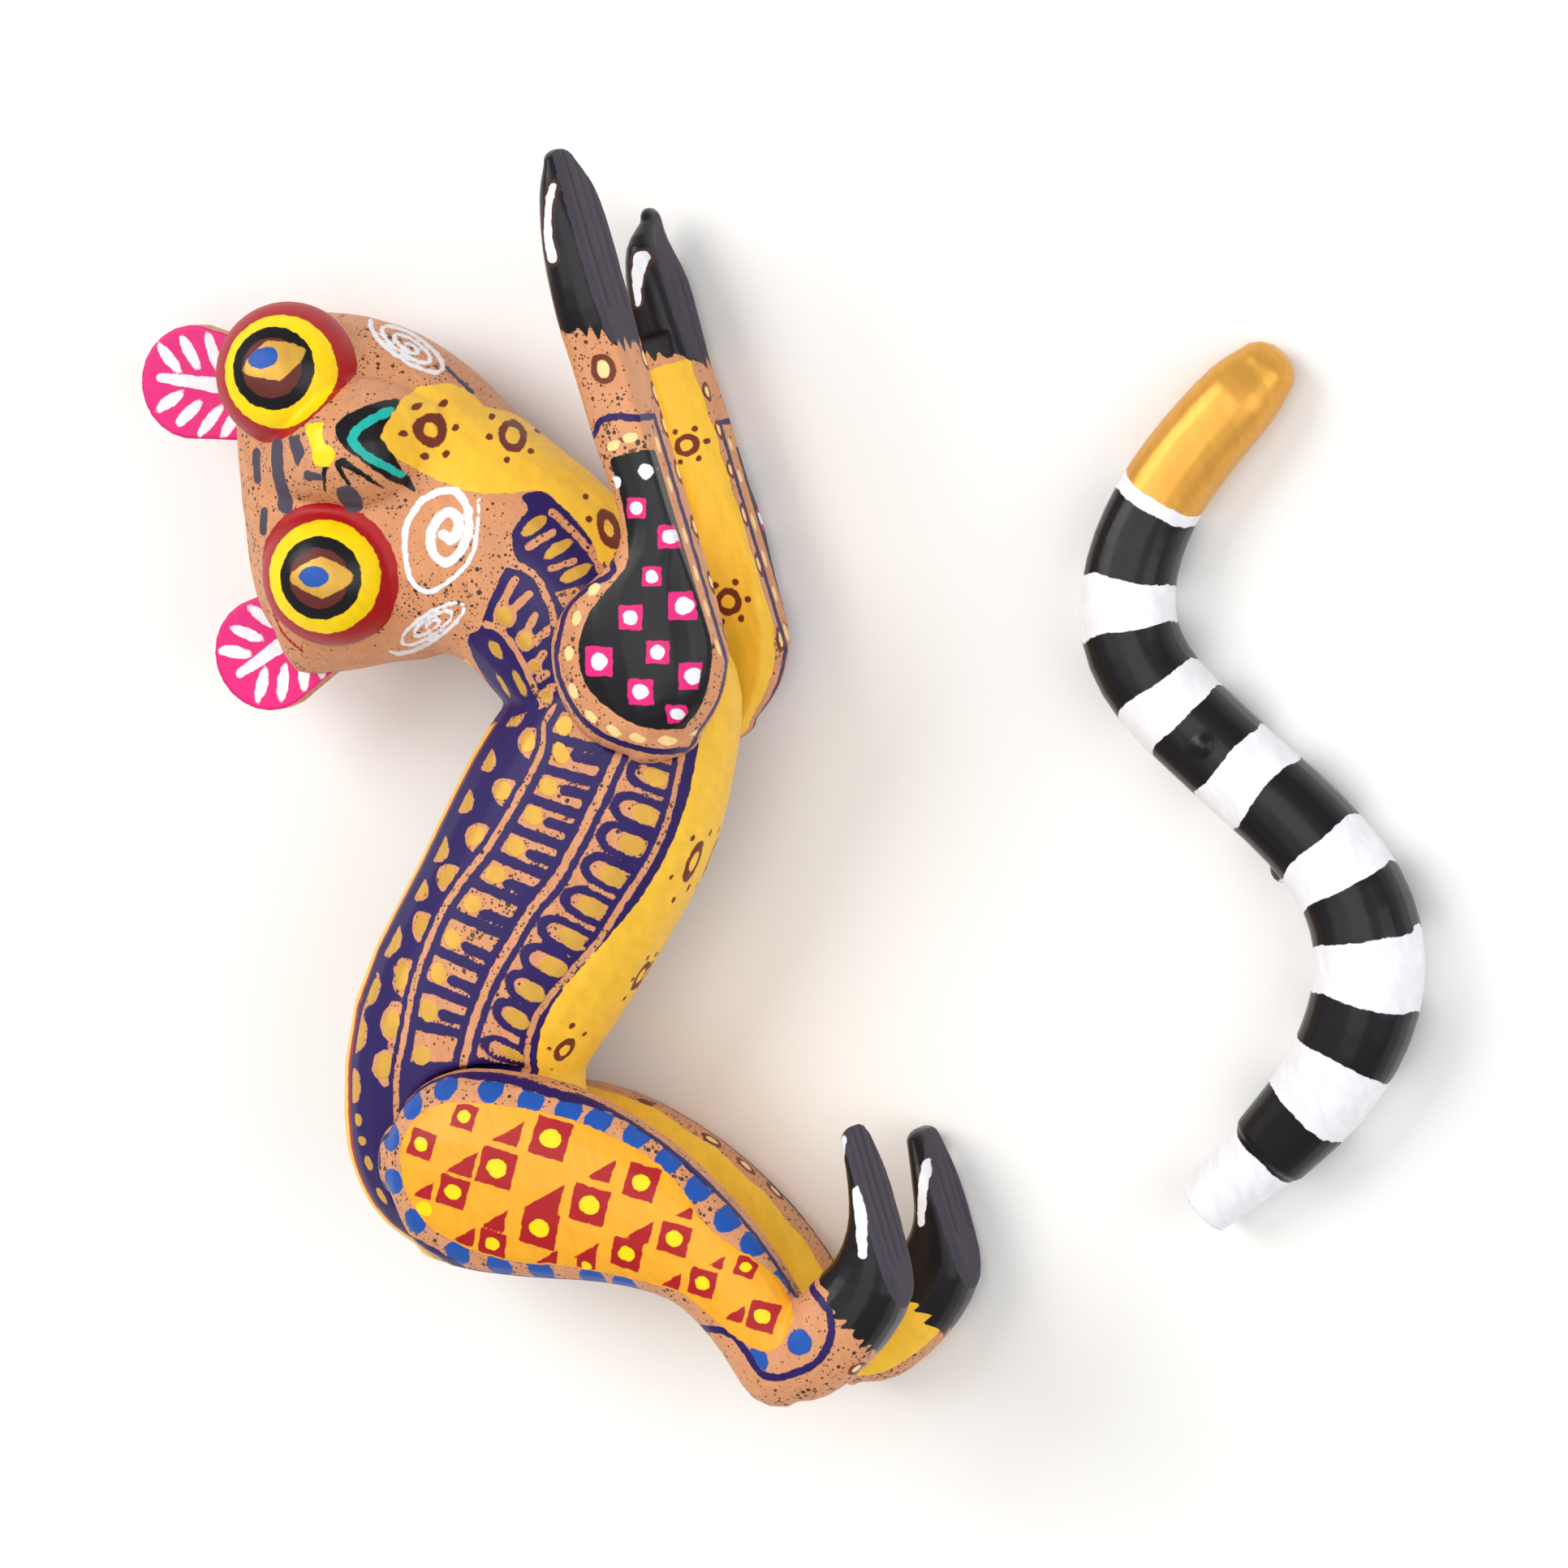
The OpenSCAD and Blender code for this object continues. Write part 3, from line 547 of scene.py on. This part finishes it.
# grey-brown patches on the brow and beside the nose: partly painted marks, partly painted shade of the nose
# ridge
brow_marks_and_shade = any_of(
    stroke(q, [(57.7, 52), (54.7, 52.7)], 1.4),
    stroke(q, bend([(57.3, 47.7), (53.6, 48.7), (50.4, 49.6)]), 2.5, 2.1),
    stroke(q, [(50.5, 52.9), (48.3, 53.9)], 1.2),
    patch(q, [(58.2, 45.4), (57.8, 43.2), (55.5, 42.8), (54.2, 44.8)]),
    stroke(q, [(52.8, 43.7), (52.1, 42)], 1.4, 0.8),
    dab(q, (48.6, 40.3), (1, -1), 2.0, 1.4))
marks = all_of(brow_marks_and_shade, near_side)
whiskers = all_of(face, any_of(
    stroke(q, [(53, 40.7), (50.4, 42.5)], 0.8, 0.35),
    stroke(q, [(53, 39), (49.4, 38.9)], 0.8, 0.35),
    stroke(q, bend([(53.1, 38.4), (50.8, 36.9), (48.8, 36)]), 0.9, 0.4)))
nose = all_of(face, any_of(
    dab(q, (54.4, 40.4), (1, 0.2), 1.35, 1.6),
    patch(q, [(58.9, 42.2), (58.5, 39.3), (56.9, 39.9), (55, 39.6), (55, 41.6)])))

def spiral(q, centre, reach, turns, squash, tilt, width):
    """A white spiral from its middle out, squashed where the cheek turns away."""
    chain, corners = [], 14
    for k in range(int(turns * corners) + 1):
        angle = -2 * math.pi * k / corners
        radius = 0.5 + (reach - 0.5) * k / (turns * corners)
        x, y = turned(radius * math.cos(angle), radius * squash * math.sin(angle), -tilt)
        chain.append((centre[0] + x, centre[1] + y))
    return stroke(q, chain, width * 0.75, width)

CHEEK = bend([
    (44.2, 25.7), (40.7, 26.7), (37.5, 28.5), (35.6, 31.9), (35, 35.4), (36.6, 36.9), (39.8, 36.7),
    (43.2, 35.6), (45.7, 33.1), (46.4, 30.3), (45.8, 28.3), (43.3, 27.3), (41, 27.8), (38.7, 29.4),
    (37.8, 31.8), (39.4, 33.1), (41.6, 32.7), (43.2, 31.2), (43.6, 29.4), (41.9, 28.8), (40.3, 30.1),
    (41.2, 31.1)
])
white = any_of(
    stroke(q, CHEEK, 0.4, 1.4),
    spiral(tilted, (65.2, 32), 6.2, 3, 0.34, 0.7, 0.6),
    spiral(tilted, (31, 39.6), 6.2, 3, 0.3, 1.81, 0.5))

# %% Put the coats on the body
SOCKET_MOUTH, SOCKET_LINE = np.array([-30.2, 63.9, 0.0]), np.array([-0.469, 0.883, 0.0])
out, off = off_line(q - SOCKET_MOUTH[:, None], SOCKET_LINE)
drilled = all_of(4.75 - off, between(out, -15, 2))        # the tail's socket stays bare
lash = stroke(q, bend([(40.6, 56), (36.2, 56.3), (32.8, 55)]), 0.4)
coats = {
    "yellow": yellow,
    "violet": violet,
    "red": any_of(red_line, red_ring, lash),
    "lemon": lemon_ring,
    "black": any_of(black_ring, mouth, whiskers),
    # the grey-brown face marks, partly painted shade beside the nose ridge
    "grey_mark_and_shade": marks,
    "maroon": maroon_ring,
    "gold": any_of(leaf_gold, eye_front[1], eye_rear[1]),
    "blue": any_of(eye_front[2], eye_rear[2]),
    "brown": brown,
    "white": all_of(white, -red_ring),
    "turquoise": lip,
    "bright_yellow": nose,
}
coats = {name: all_of(coat, -drilled) for name, coat in coats.items()}
put_on(body, coats, "copal, hand painted body")

# %% [markdown]
# The arms share one pattern. Outside, a black drop with pink squares and white dots lies in a bare
# border with cream dabs. The inside is yellow with paw marks, and the hands are black enamel. The
# left arm is a mirror with a shorter forearm, so its side view is stretched to fit the pattern.
# %% Limb pattern helpers
def square(q, centre, half, turn):
    x, y = turned(q[0] - centre[0], q[1] - centre[1], turn)
    return half - np.maximum(abs(x), abs(y))

def ringed_dabs(q, centres, along):
    """Brown ovals with a cream middle."""
    brown = any_of(*[dab(q, c, along, 1.6, 1.15) for c in centres])
    return brown, any_of(*[dab(q, c, along, 0.95, 0.62) for c in centres])

def jagged(a, b):
    """A dry brush edge: teeth of about 1.5 mm."""
    return 2.0 * np.abs((a * 0.9 + b * 0.5) % 1.5 - 0.75) + 0.35 * np.sin(a * 5 + b * 3)

DROP = bend([
    (43.5, 2), (43.5, 5), (40.5, 5), (36, 5.5), (32.5, 6), (30.5, 7), (28.5, 10), (26.5, 13),
    (24, 15), (21.5, 16), (18, 16), (14.5, 14), (11.5, 11), (10, 7.5), (10, 5.5), (12, 2.5), (13, -3),
    (40, -3), (43.2, 0)
], 4, True)
SHOULDER = bend([
    (48.3, 2.5), (48.4, 4.6), (47.3, 6.1), (45, 9), (33, 9), (30.4, 8.6), (29.6, 12.4), (28, 16),
    (25.5, 17.7), (22.3, 19.5), (18.7, 19.6), (14.8, 18.5), (11.4, 15.9), (8.9, 12.3), (7.5, 9),
    (6.8, 5), (6.6, -4), (30, -5), (46, -4), (47.3, 0)
], 4, True)
CREAM = [
    ((45.3, 1.7), (0.1, 1)), ((45.1, 4.1), (-0.2, 1)), ((29.1, 11.7), (-0.4, 1)),
    ((26.3, 14.9), (-1, 0.8)), ((22.5, 17.2), (-1, 0.4)), ((18, 18.2), (-1, -0.1)),
    ((14.4, 16.9), (-1, -0.7)), ((11.9, 14.6), (-1, -1)), ((10.2, 12), (-0.6, -1)),
    ((8.9, 9), (-0.2, -1)), ((8.6, 5.6), (0.1, -1))
]
CREAM_BELOW = [43.7, 38.7, 32.2, 27.5, 23, 18, 13.5]      # the dabs under the arm's lower edge
PINK = [
    (37, 3.5, 1.25), (32.5, 0.5, 1.4), (28.5, 4, 1.2), (24.5, 8, 1.5), (24, 1.5, 1.75),
    (19.5, 6, 1.4), (20.5, 13.5, 1.8), (15.5, 3, 1.65), (15.5, 9.5, 1.6), (11.7, 6.3, 1.15)
]

# %% Paint an arm
ELBOW, SHORTENED = 36, 0.8182                    # the left forearm is this share of the right one's length
DROP_TOP = 17                                    # squares and dots stay on the arm's outer face

def paint_arm(node, short):
    arm = soften(node, 0.0003, 1, "figure")
    q = side_view(arm)
    q[2] = np.abs(q[2])
    if short:
        q[0] = np.where(q[0] > ELBOW, ELBOW + (q[0] - ELBOW) / SHORTENED, q[0])
    outside = (q[2] - 12.5) * 0.6
    shoulder = all_of(patch(q, SHOULDER), outside)
    drop = all_of(patch(q, DROP), q[2] - 16)
    wrist = np.interp(q[1], [0, 1, 3, 5.5], [56.5, 58.3, 59.3, 60]) - 0.8
    hand = q[0] - wrist - jagged(q[1], q[2])
    # the palm side of the hand is matt and painted a lighter grey, a painted sheen
    palm_sheen = all_of(hand - 0.4, 0.75 - q[1])
    if short:
        rim, rim_side, yellow_side = (52.3, 46.3, 40, 33.4, 26.9, 17.3), 11.3, 10
        claw_line = bend([(74.4, 2.2), (71.2, 3.5), (67.9, 4.3)])
        claw, halo = stroke(q, claw_line, 2.0, 0.8), stroke(q, claw_line, 3.0, 1.6)
    else:
        rim, rim_side, yellow_side = (54.5, 50, 46, 40, 33, 26, 19.5, 13), 9.5, 6.5
        claw_line = bend([(77.1, 1.5), (75.2, 2.7), (71.8, 4), (69, 4.3)])
        claw, halo = stroke(q, claw_line, 0.8, 1.5), stroke(q, claw_line, 1.8, 2.4)
    brown, cream = ringed_dabs(q, [(f, 0.2, rim_side) for f in rim], (1, 0, 0))
    brown = any_of(brown, all_of(dab(q, (54.3, 2.5), (1, 0), 1.9, 1.6), outside))
    cream = any_of(cream, all_of(dab(q, (54.3, 2.5), (1, 0), 1.1, 0.85), outside))
    yellow = all_of(yellow_side - q[2] + 0.15 * np.sin(q[0]), 57.9 - q[0])
    inner_paws = all_of(any_of(*[paw(q, c, 1.4) for c in [(45.3, 3.7), (23.5, 4.3), (15, 12)]]), 10 - q[2])
    pink = any_of(*[square(q, (f, u), half, -0.3) for f, u, half in PINK])
    square_dots = [dot(q, (f, u), 0.25 + 0.45 * half) for f, u, half in PINK]
    white = any_of(*square_dots, dot(q, (40.9, 1), 0.95), dot(q, (40.7, 5.2), 0.75))
    border_dabs = any_of(*[dab(q, c, way, 1.0, 0.62) for c, way in CREAM])
    low_dabs = any_of(*[dab(q, (f, 0, 14.3), (1, 0), 1.1, 0.7) for f in CREAM_BELOW])
    coats = {
        "yellow": yellow,
        "violet": FINE - abs(shoulder),
        "black": any_of(drop, hand),
        "palm_sheen": palm_sheen,
        "umber": all_of(halo, hand - 0.5),
        "brown": any_of(brown, inner_paws),
        "cream": any_of(cream, all_of(border_dabs, -drop, outside - 0.2), low_dabs),
        "pink": all_of(pink, drop + 0.3, q[2] - DROP_TOP),
        "white": any_of(all_of(white, drop + 0.5, q[2] - DROP_TOP), claw),
    }
    put_on(arm, coats, "copal, hand painted " + node.replace("_", " "))

paint_arm("right_arm", False)
paint_arm("left_arm", True)

# %% [markdown]
# The thighs carry an amber patch with rows of red squares and red triangles, blue dots on a bare
# border, and a violet outline. The inside of the leg is yellow, with brown ovals along its rim, and
# the feet are black enamel with matt soles, painted a lighter grey as a painted sheen of the light on them.
# %% Leg pattern
THIGH = bend([
    (-31.4, 56.6), (-28.5, 55.4), (-26.5, 52.9), (-25.8, 49.6), (-26.6, 45.9), (-28.2, 41.6),
    (-30.3, 37), (-33, 32.7), (-35.7, 29.3), (-39, 26), (-42.6, 23.5), (-45.8, 22.2), (-49.1, 20.9),
    (-52.3, 18.6), (-54.8, 16.5), (-57.7, 14.8), (-60.8, 14), (-63.1, 13.9), (-65.4, 16.3),
    (-65.6, 18.5), (-63.1, 21.3), (-59.4, 24.1), (-56.2, 26.7), (-53.9, 30.6), (-51.6, 35.2),
    (-49.1, 40.4), (-47.5, 45.1), (-45.2, 49.5), (-42.5, 53), (-39.7, 55.5), (-35.5, 56.8)
], 3, True)
HIP = bend([
    (-24.4, 60.4), (-21.8, 56.3), (-21.2, 51.6), (-22.7, 48), (-25.1, 41.5), (-28.3, 36.1),
    (-31.3, 30.9), (-34.5, 27.2), (-38, 24), (-42.3, 21.3), (-47.5, 18), (-53, 15), (-58, 11.8),
    (-62.9, 8.6), (-66.7, 9.8), (-68.8, 12.8), (-69.2, 17.5), (-67.9, 19.7), (-64.5, 20.8),
    (-61.9, 22.7), (-60, 30), (-55, 42), (-49, 52), (-45.2, 54.6), (-41.8, 57.7), (-38.7, 62.6),
    (-34.6, 63.1), (-30.2, 60.3), (-27, 61)
], 3, True)
SQUARES = [
    (-33.6, 36.8, 2.3), (-35.2, 44.3, 2.3), (-36.6, 50.7, 1.9), (-43.8, 41.4, 2.3),
    (-42.7, 34.3, 2.3), (-41.8, 27.3, 2.0), (-49.5, 25.2, 1.9), (-49.7, 31.7, 1.9),
    (-44.1, 48.1, 1.7), (-29.9, 53.1, 1.7), (-28.1, 46.8, 1.5), (-55.6, 23.4, 1.7),
    (-55.2, 17.7, 1.2), (-61.5, 17.3, 1.8), (-49.8, 37.5, 1.2)
]
TRIANGLES = [
    (-31.4, 41.8, 1.7), (-33.4, 48.6, 1.8), (-40.3, 39.6, 2.2), (-41.2, 46.7, 1.5), (-39, 31.7, 1.5),
    (-47.4, 29.3, 1.6), (-48.1, 36.7, 1.4), (-42.1, 51.3, 1.4), (-35.3, 54.5, 1.3), (-46.6, 23, 1.0),
    (-53.6, 20.9, 0.9), (-54.3, 27.3, 1.2), (-60.2, 20.5, 1.2), (-47.5, 41.9, 1.3)
]
BLUE = [
    (-25.1, 53.7), (-24, 48.9), (-25.8, 43.1), (-28.5, 38.4), (-31, 34.2), (-33.2, 31), (-36.1, 26.9),
    (-40.1, 23.8), (-44.4, 21), (-49, 18.6), (-52.7, 16.3), (-58.2, 14.3), (-65.7, 13.5),
    (-66.5, 19.7), (-28.2, 57.6), (-33.4, 58.6), (-38.8, 57.1), (-44, 53.2), (-47, 48.7), (-49, 43.7),
    (-51.6, 37.7), (-53.5, 34.1)
]

def right_triangle(q, centre, half):
    x, y = q[0] - centre[0], q[1] - centre[1]
    across, down = -0.5255 * x - 0.8508 * y, -0.8508 * x + 0.5255 * y      # the rows lean by about 58 degrees
    return all_of(half - across, half * 0.85 - down, (down + across) * 0.71 + 0.15)

# %% Paint a leg
ROW = (-0.52, -0.85)                             # the direction of a row of squares
FOOT = [
    (-38, -6), (-38, 14), (-52, 12), (-57, 9.8), (-60, 8.4), (-63, 8.3), (-66, 6.6), (-69.4, 5.6),
    (-76, 5), (-76, -6)
]
LEG_RIM = [
    (-31, 33, 12), (-38.5, 26.5, 12.5), (-43, 23.5, 13), (-47, 21, 14), (-54, 17.5, 13.5),
    (-70.7, 8.4, 17), (-71.5, 15.5, 15)
]
INNER_DOTS = [(-40, 32), (-45.5, 28), (-50, 25), (-55, 22), (-43, 40), (-36, 40)]
INNER_PAWS = [(-36, 47), (-48, 36)]

def paint_leg(node, is_left):
    leg = soften(node, 0.0003, 1, "figure")
    q = side_view(leg)
    q[2] = np.abs(q[2])
    if is_left:                                  # the left leg lies a little further back, its thigh higher
        q[0], q[1] = q[0] + 1.8, q[1] - np.where(q[1] > 20, 1.2, 0)
    hip = all_of(patch(q, HIP), q[2] - 15.4)
    amber = all_of(patch(q, THIGH), q[2] - 15.5)
    foot = patch(q, FOOT) + 0.6 - 0.75 * jagged(q[0], q[2])
    # the sole is matt and painted a lighter grey, a painted sheen
    sole_sheen = all_of(foot - 0.3, 0.9 - q[1])
    red = any_of(*[square(q, (f, u), half, 1.017) for f, u, half in SQUARES],
                 *[right_triangle(q, (f, u), half) for f, u, half in TRIANGLES])
    yolks = any_of(*[dab(q, (f, u), ROW, 0.56 * half, 0.5 * half) for f, u, half in SQUARES],
                   dab(q, (-37.6, 55.1), ROW, 1.1, 0.9))
    blue = any_of(*[dot(q, c, 1.62) for c in BLUE])
    brown, cream = ringed_dabs(q, LEG_RIM, (-0.5, -0.4, 0))
    spots = any_of(*[dot(q, c, 0.7) for c in INNER_DOTS], *[paw(q, c, 1.5, 0.3) for c in INNER_PAWS])
    yellow = all_of(11.2 - q[2] + 0.2 * np.sin(q[0] * 0.9), 0.2 - foot)
    if is_left:
        claw = stroke(q, bend([(-48.8, 0.7), (-51.5, 1.8), (-55.4, 3.4)]), 1.4, 1.0)
    else:
        claw = any_of(stroke(q, bend([(-50.2, 0.6), (-53.4, 1.4), (-57.4, 2.4)]), 1.9, 1.2),
                      stroke(q, [(-43.5, 0.8), (-45.6, 1.8)], 1.0, 0.6))
    coats = {
        "yellow": yellow,
        "blue": all_of(blue, hip - 0.4),
        "violet": 0.48 - abs(hip),
        "amber": amber,
        "red": all_of(red, amber - 0.2),
        "lemon": all_of(yolks, amber),
        "black": foot,
        "palm_sheen": sole_sheen,
        "brown": any_of(brown, all_of(spots, 10 - q[2])),
        "cream": cream,
        "white": all_of(claw, q[1] - 0.4),
    }
    put_on(leg, coats, "copal, hand painted " + node.replace("_", " "))

paint_leg("right_leg", False)
paint_leg("left_leg", True)

# %% [markdown]
# Ears are flat leaves of copal. Their faces are pink with a white rib and short white veins,
# and the knife-cut edge is left bare. The pattern is laid out along each ear from its seat.
# %% Paint the ears
VEINS = [    # middle along the ear and beside its rib, and how far the vein leans forward
    (2.6, 4, 0.35), (5.6, 4.2, 0.5), (8.6, 3.6, 0.8), (11.2, 2.4, 1.2),
    (1.8, -4.2, 0.5), (4.6, -4.4, 0.6), (7.6, -4, 0.8), (10.4, -3, 1.1),
]

def paint_ear(node, seat):
    ear = soften(node, 0.00022, 1, "figure")
    q = side_view(ear)
    x, y = q[0] - seat[0], q[1] - seat[1]
    along = unit([x.mean(), y.mean()])
    leaf = np.stack([x * along[0] + y * along[1], x * along[1] - y * along[0]])
    normals = np.empty(len(ear.data.vertices) * 3, np.float32)
    ear.data.vertices.foreach_get("normal", normals)
    face = (np.abs(normals.reshape(-1, 3)[:, 2]) - 0.6) * 1.6
    rib = stroke(leaf, [(1, 0.2), (12, -0.2)], 2.3, 1.2)
    veins = [dab(leaf, (a, b), (lean, math.copysign(1, b)), 2.4, 0.75) for a, b, lean in VEINS]
    coats = {"pink": face, "white": all_of(any_of(rib, *veins), face - 0.1)}
    put_on(ear, coats, "copal, pink painted " + node.replace("_", " "))
    print(node, "leaf from %.1f to %.1f mm" % (leaf[0].min(), leaf[0].max()))

paint_ear("front_ear", (66, 55.2))
paint_ear("rear_ear", (35.8, 55.5))

# %% [markdown]
# The tail is carved apart, from one bent piece of copal. It is white all over, with black rings laid
# round it and a gold end. Rings must stay square to the bend, so each is found by the distance
# along the tail's middle line, from its tip to its plug.
# %% Paint the tail
TAIL = bend([
    (67.5, 31.6), (64.3, 29.7), (57, 25.2), (50.3, 20), (45, 13.4), (42.4, 5.8), (43.9, -2.2),
    (49.8, -12.6), (56.6, -23.6), (60.2, -32.6), (60, -41), (56.2, -48.6), (49.4, -55.2),
    (40.6, -60.4), (30, -66)
], 6)
RING_EDGES = [
    (49.9, 19.6), (44.2, 12.2), (42.3, 5.9), (43.7, -1.8), (46.6, -6.6), (50.1, -12.9), (53, -18.6),
    (57.8, -26.1), (60.2, -31.8), (60.35, -38.3), (57.9, -45.6), (53.2, -51.6), (46.9, -57.3),
    (39.9, -60.8)
]
GOLD_EDGE = (51.2, 20.9)

def reach_of(x, y):
    return along_chain(TAIL, np.array(x), np.array(y))[0]

tail = soften("tail", 0.0004, 1, "tail")
x, y, z = corners_mm(tail)
x, y = x + U_SHIFT, y + F_SHIFT
reach = reach_of(x, y) + 0.25 * np.sin(z * 0.9 + x * 0.4)    # a ring laid by hand is a little uneven
edges = [float(reach_of(*place)) for place in RING_EDGES]
print("ring edges along the tail:", [round(e, 1) for e in edges])
black_rings = any_of(*[between(reach, a, b) for a, b in zip(edges[::2], edges[1::2])])
coats = {
    "white": np.full(len(x), 3.0),
    "black": black_rings,
    "bright_gold": float(reach_of(*GOLD_EDGE)) - reach,
}
put_on(tail, coats, "copal, enamelled tail")

# %% [markdown]
# Eight pegs hold the limbs. They are unpainted whittled copal, hidden inside the joints, and
# their CAD shape is right already, so only their wood is new.
# %% Bare wood for the pegs
bare_copal = painted_wood("copal, whittled and unpainted", [], speck_share=0.5)
for name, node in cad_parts.items():
    if name.endswith(("_front", "_rear", "_upper", "_lower")):
        for place in node.material_slots:
            place.material = bare_copal
        print("peg", name)

# %% [markdown]
# The table is lit by large soft lights, so that the small carving is clear and no hard shadow
# hides the pattern. The floor is plain, pale and matt.
# %% Floor and lights
bpy.ops.object.select_all(action="DESELECT")
bpy.ops.mesh.primitive_plane_add(size=4, location=(0, 0, 0))
floor = bpy.context.object
floor.name = "floor"
paper = bpy.data.materials.new("matt white paper floor")
paper.use_nodes = True
paper_shader = paper.node_tree.nodes["Principled BSDF"]
paper_shader.inputs["Base Color"].default_value = paint_colour("#F4F3F1")
paper_shader.inputs["Roughness"].default_value = 0.9
floor.data.materials.append(paper)

def soft_light(name, place, size, watts):
    bpy.ops.object.light_add(type="AREA", location=place)
    light = bpy.context.object
    light.name, light.data.size, light.data.energy = name, size, watts
    light.rotation_euler = (-Vector(place)).to_track_quat("-Z", "Y").to_euler()

soft_light("window", (-0.5, 0.6, 0.9), 0.7, 7.5)
soft_light("reflector", (0.9, -0.3, 0.8), 0.9, 5.2)
soft_light("overhead", (0, 0, 1.3), 0.8, 4)
world = bpy.context.scene.world or bpy.data.worlds.new("soft room")
bpy.context.scene.world = world
world.use_nodes = True
world.node_tree.nodes["Background"].inputs["Color"].default_value = (1, 1, 1, 1)
world.node_tree.nodes["Background"].inputs["Strength"].default_value = 0.5

# %% [markdown]
# The camera looks down on the table, leaning a little to the belly side, with a long lens, so the
# flat-laid animal keeps its proportions.
# %% Camera
look_from = Vector((0.3007, 0, 0.9537)).normalized()
up = Vector((0.2709, 0.9588, -0.0854)).normalized()
right = up.cross(look_from).normalized()
target = Vector((-0.0021, -0.0033, 0.0205))
bpy.ops.object.camera_add(location=target + look_from * 1.073)
camera = bpy.context.object
camera.name = "table camera"
camera.data.lens, camera.data.sensor_width = 200, 36
camera.data.clip_start, camera.data.clip_end = 0.05, 10
camera.rotation_mode = "QUATERNION"
turn = Matrix((right, look_from.cross(right), look_from)).transposed()
camera.rotation_quaternion = turn.to_quaternion()
bpy.context.scene.camera = camera
bpy.context.scene.view_settings.view_transform = "Standard"    # saturated paint keeps its own colour
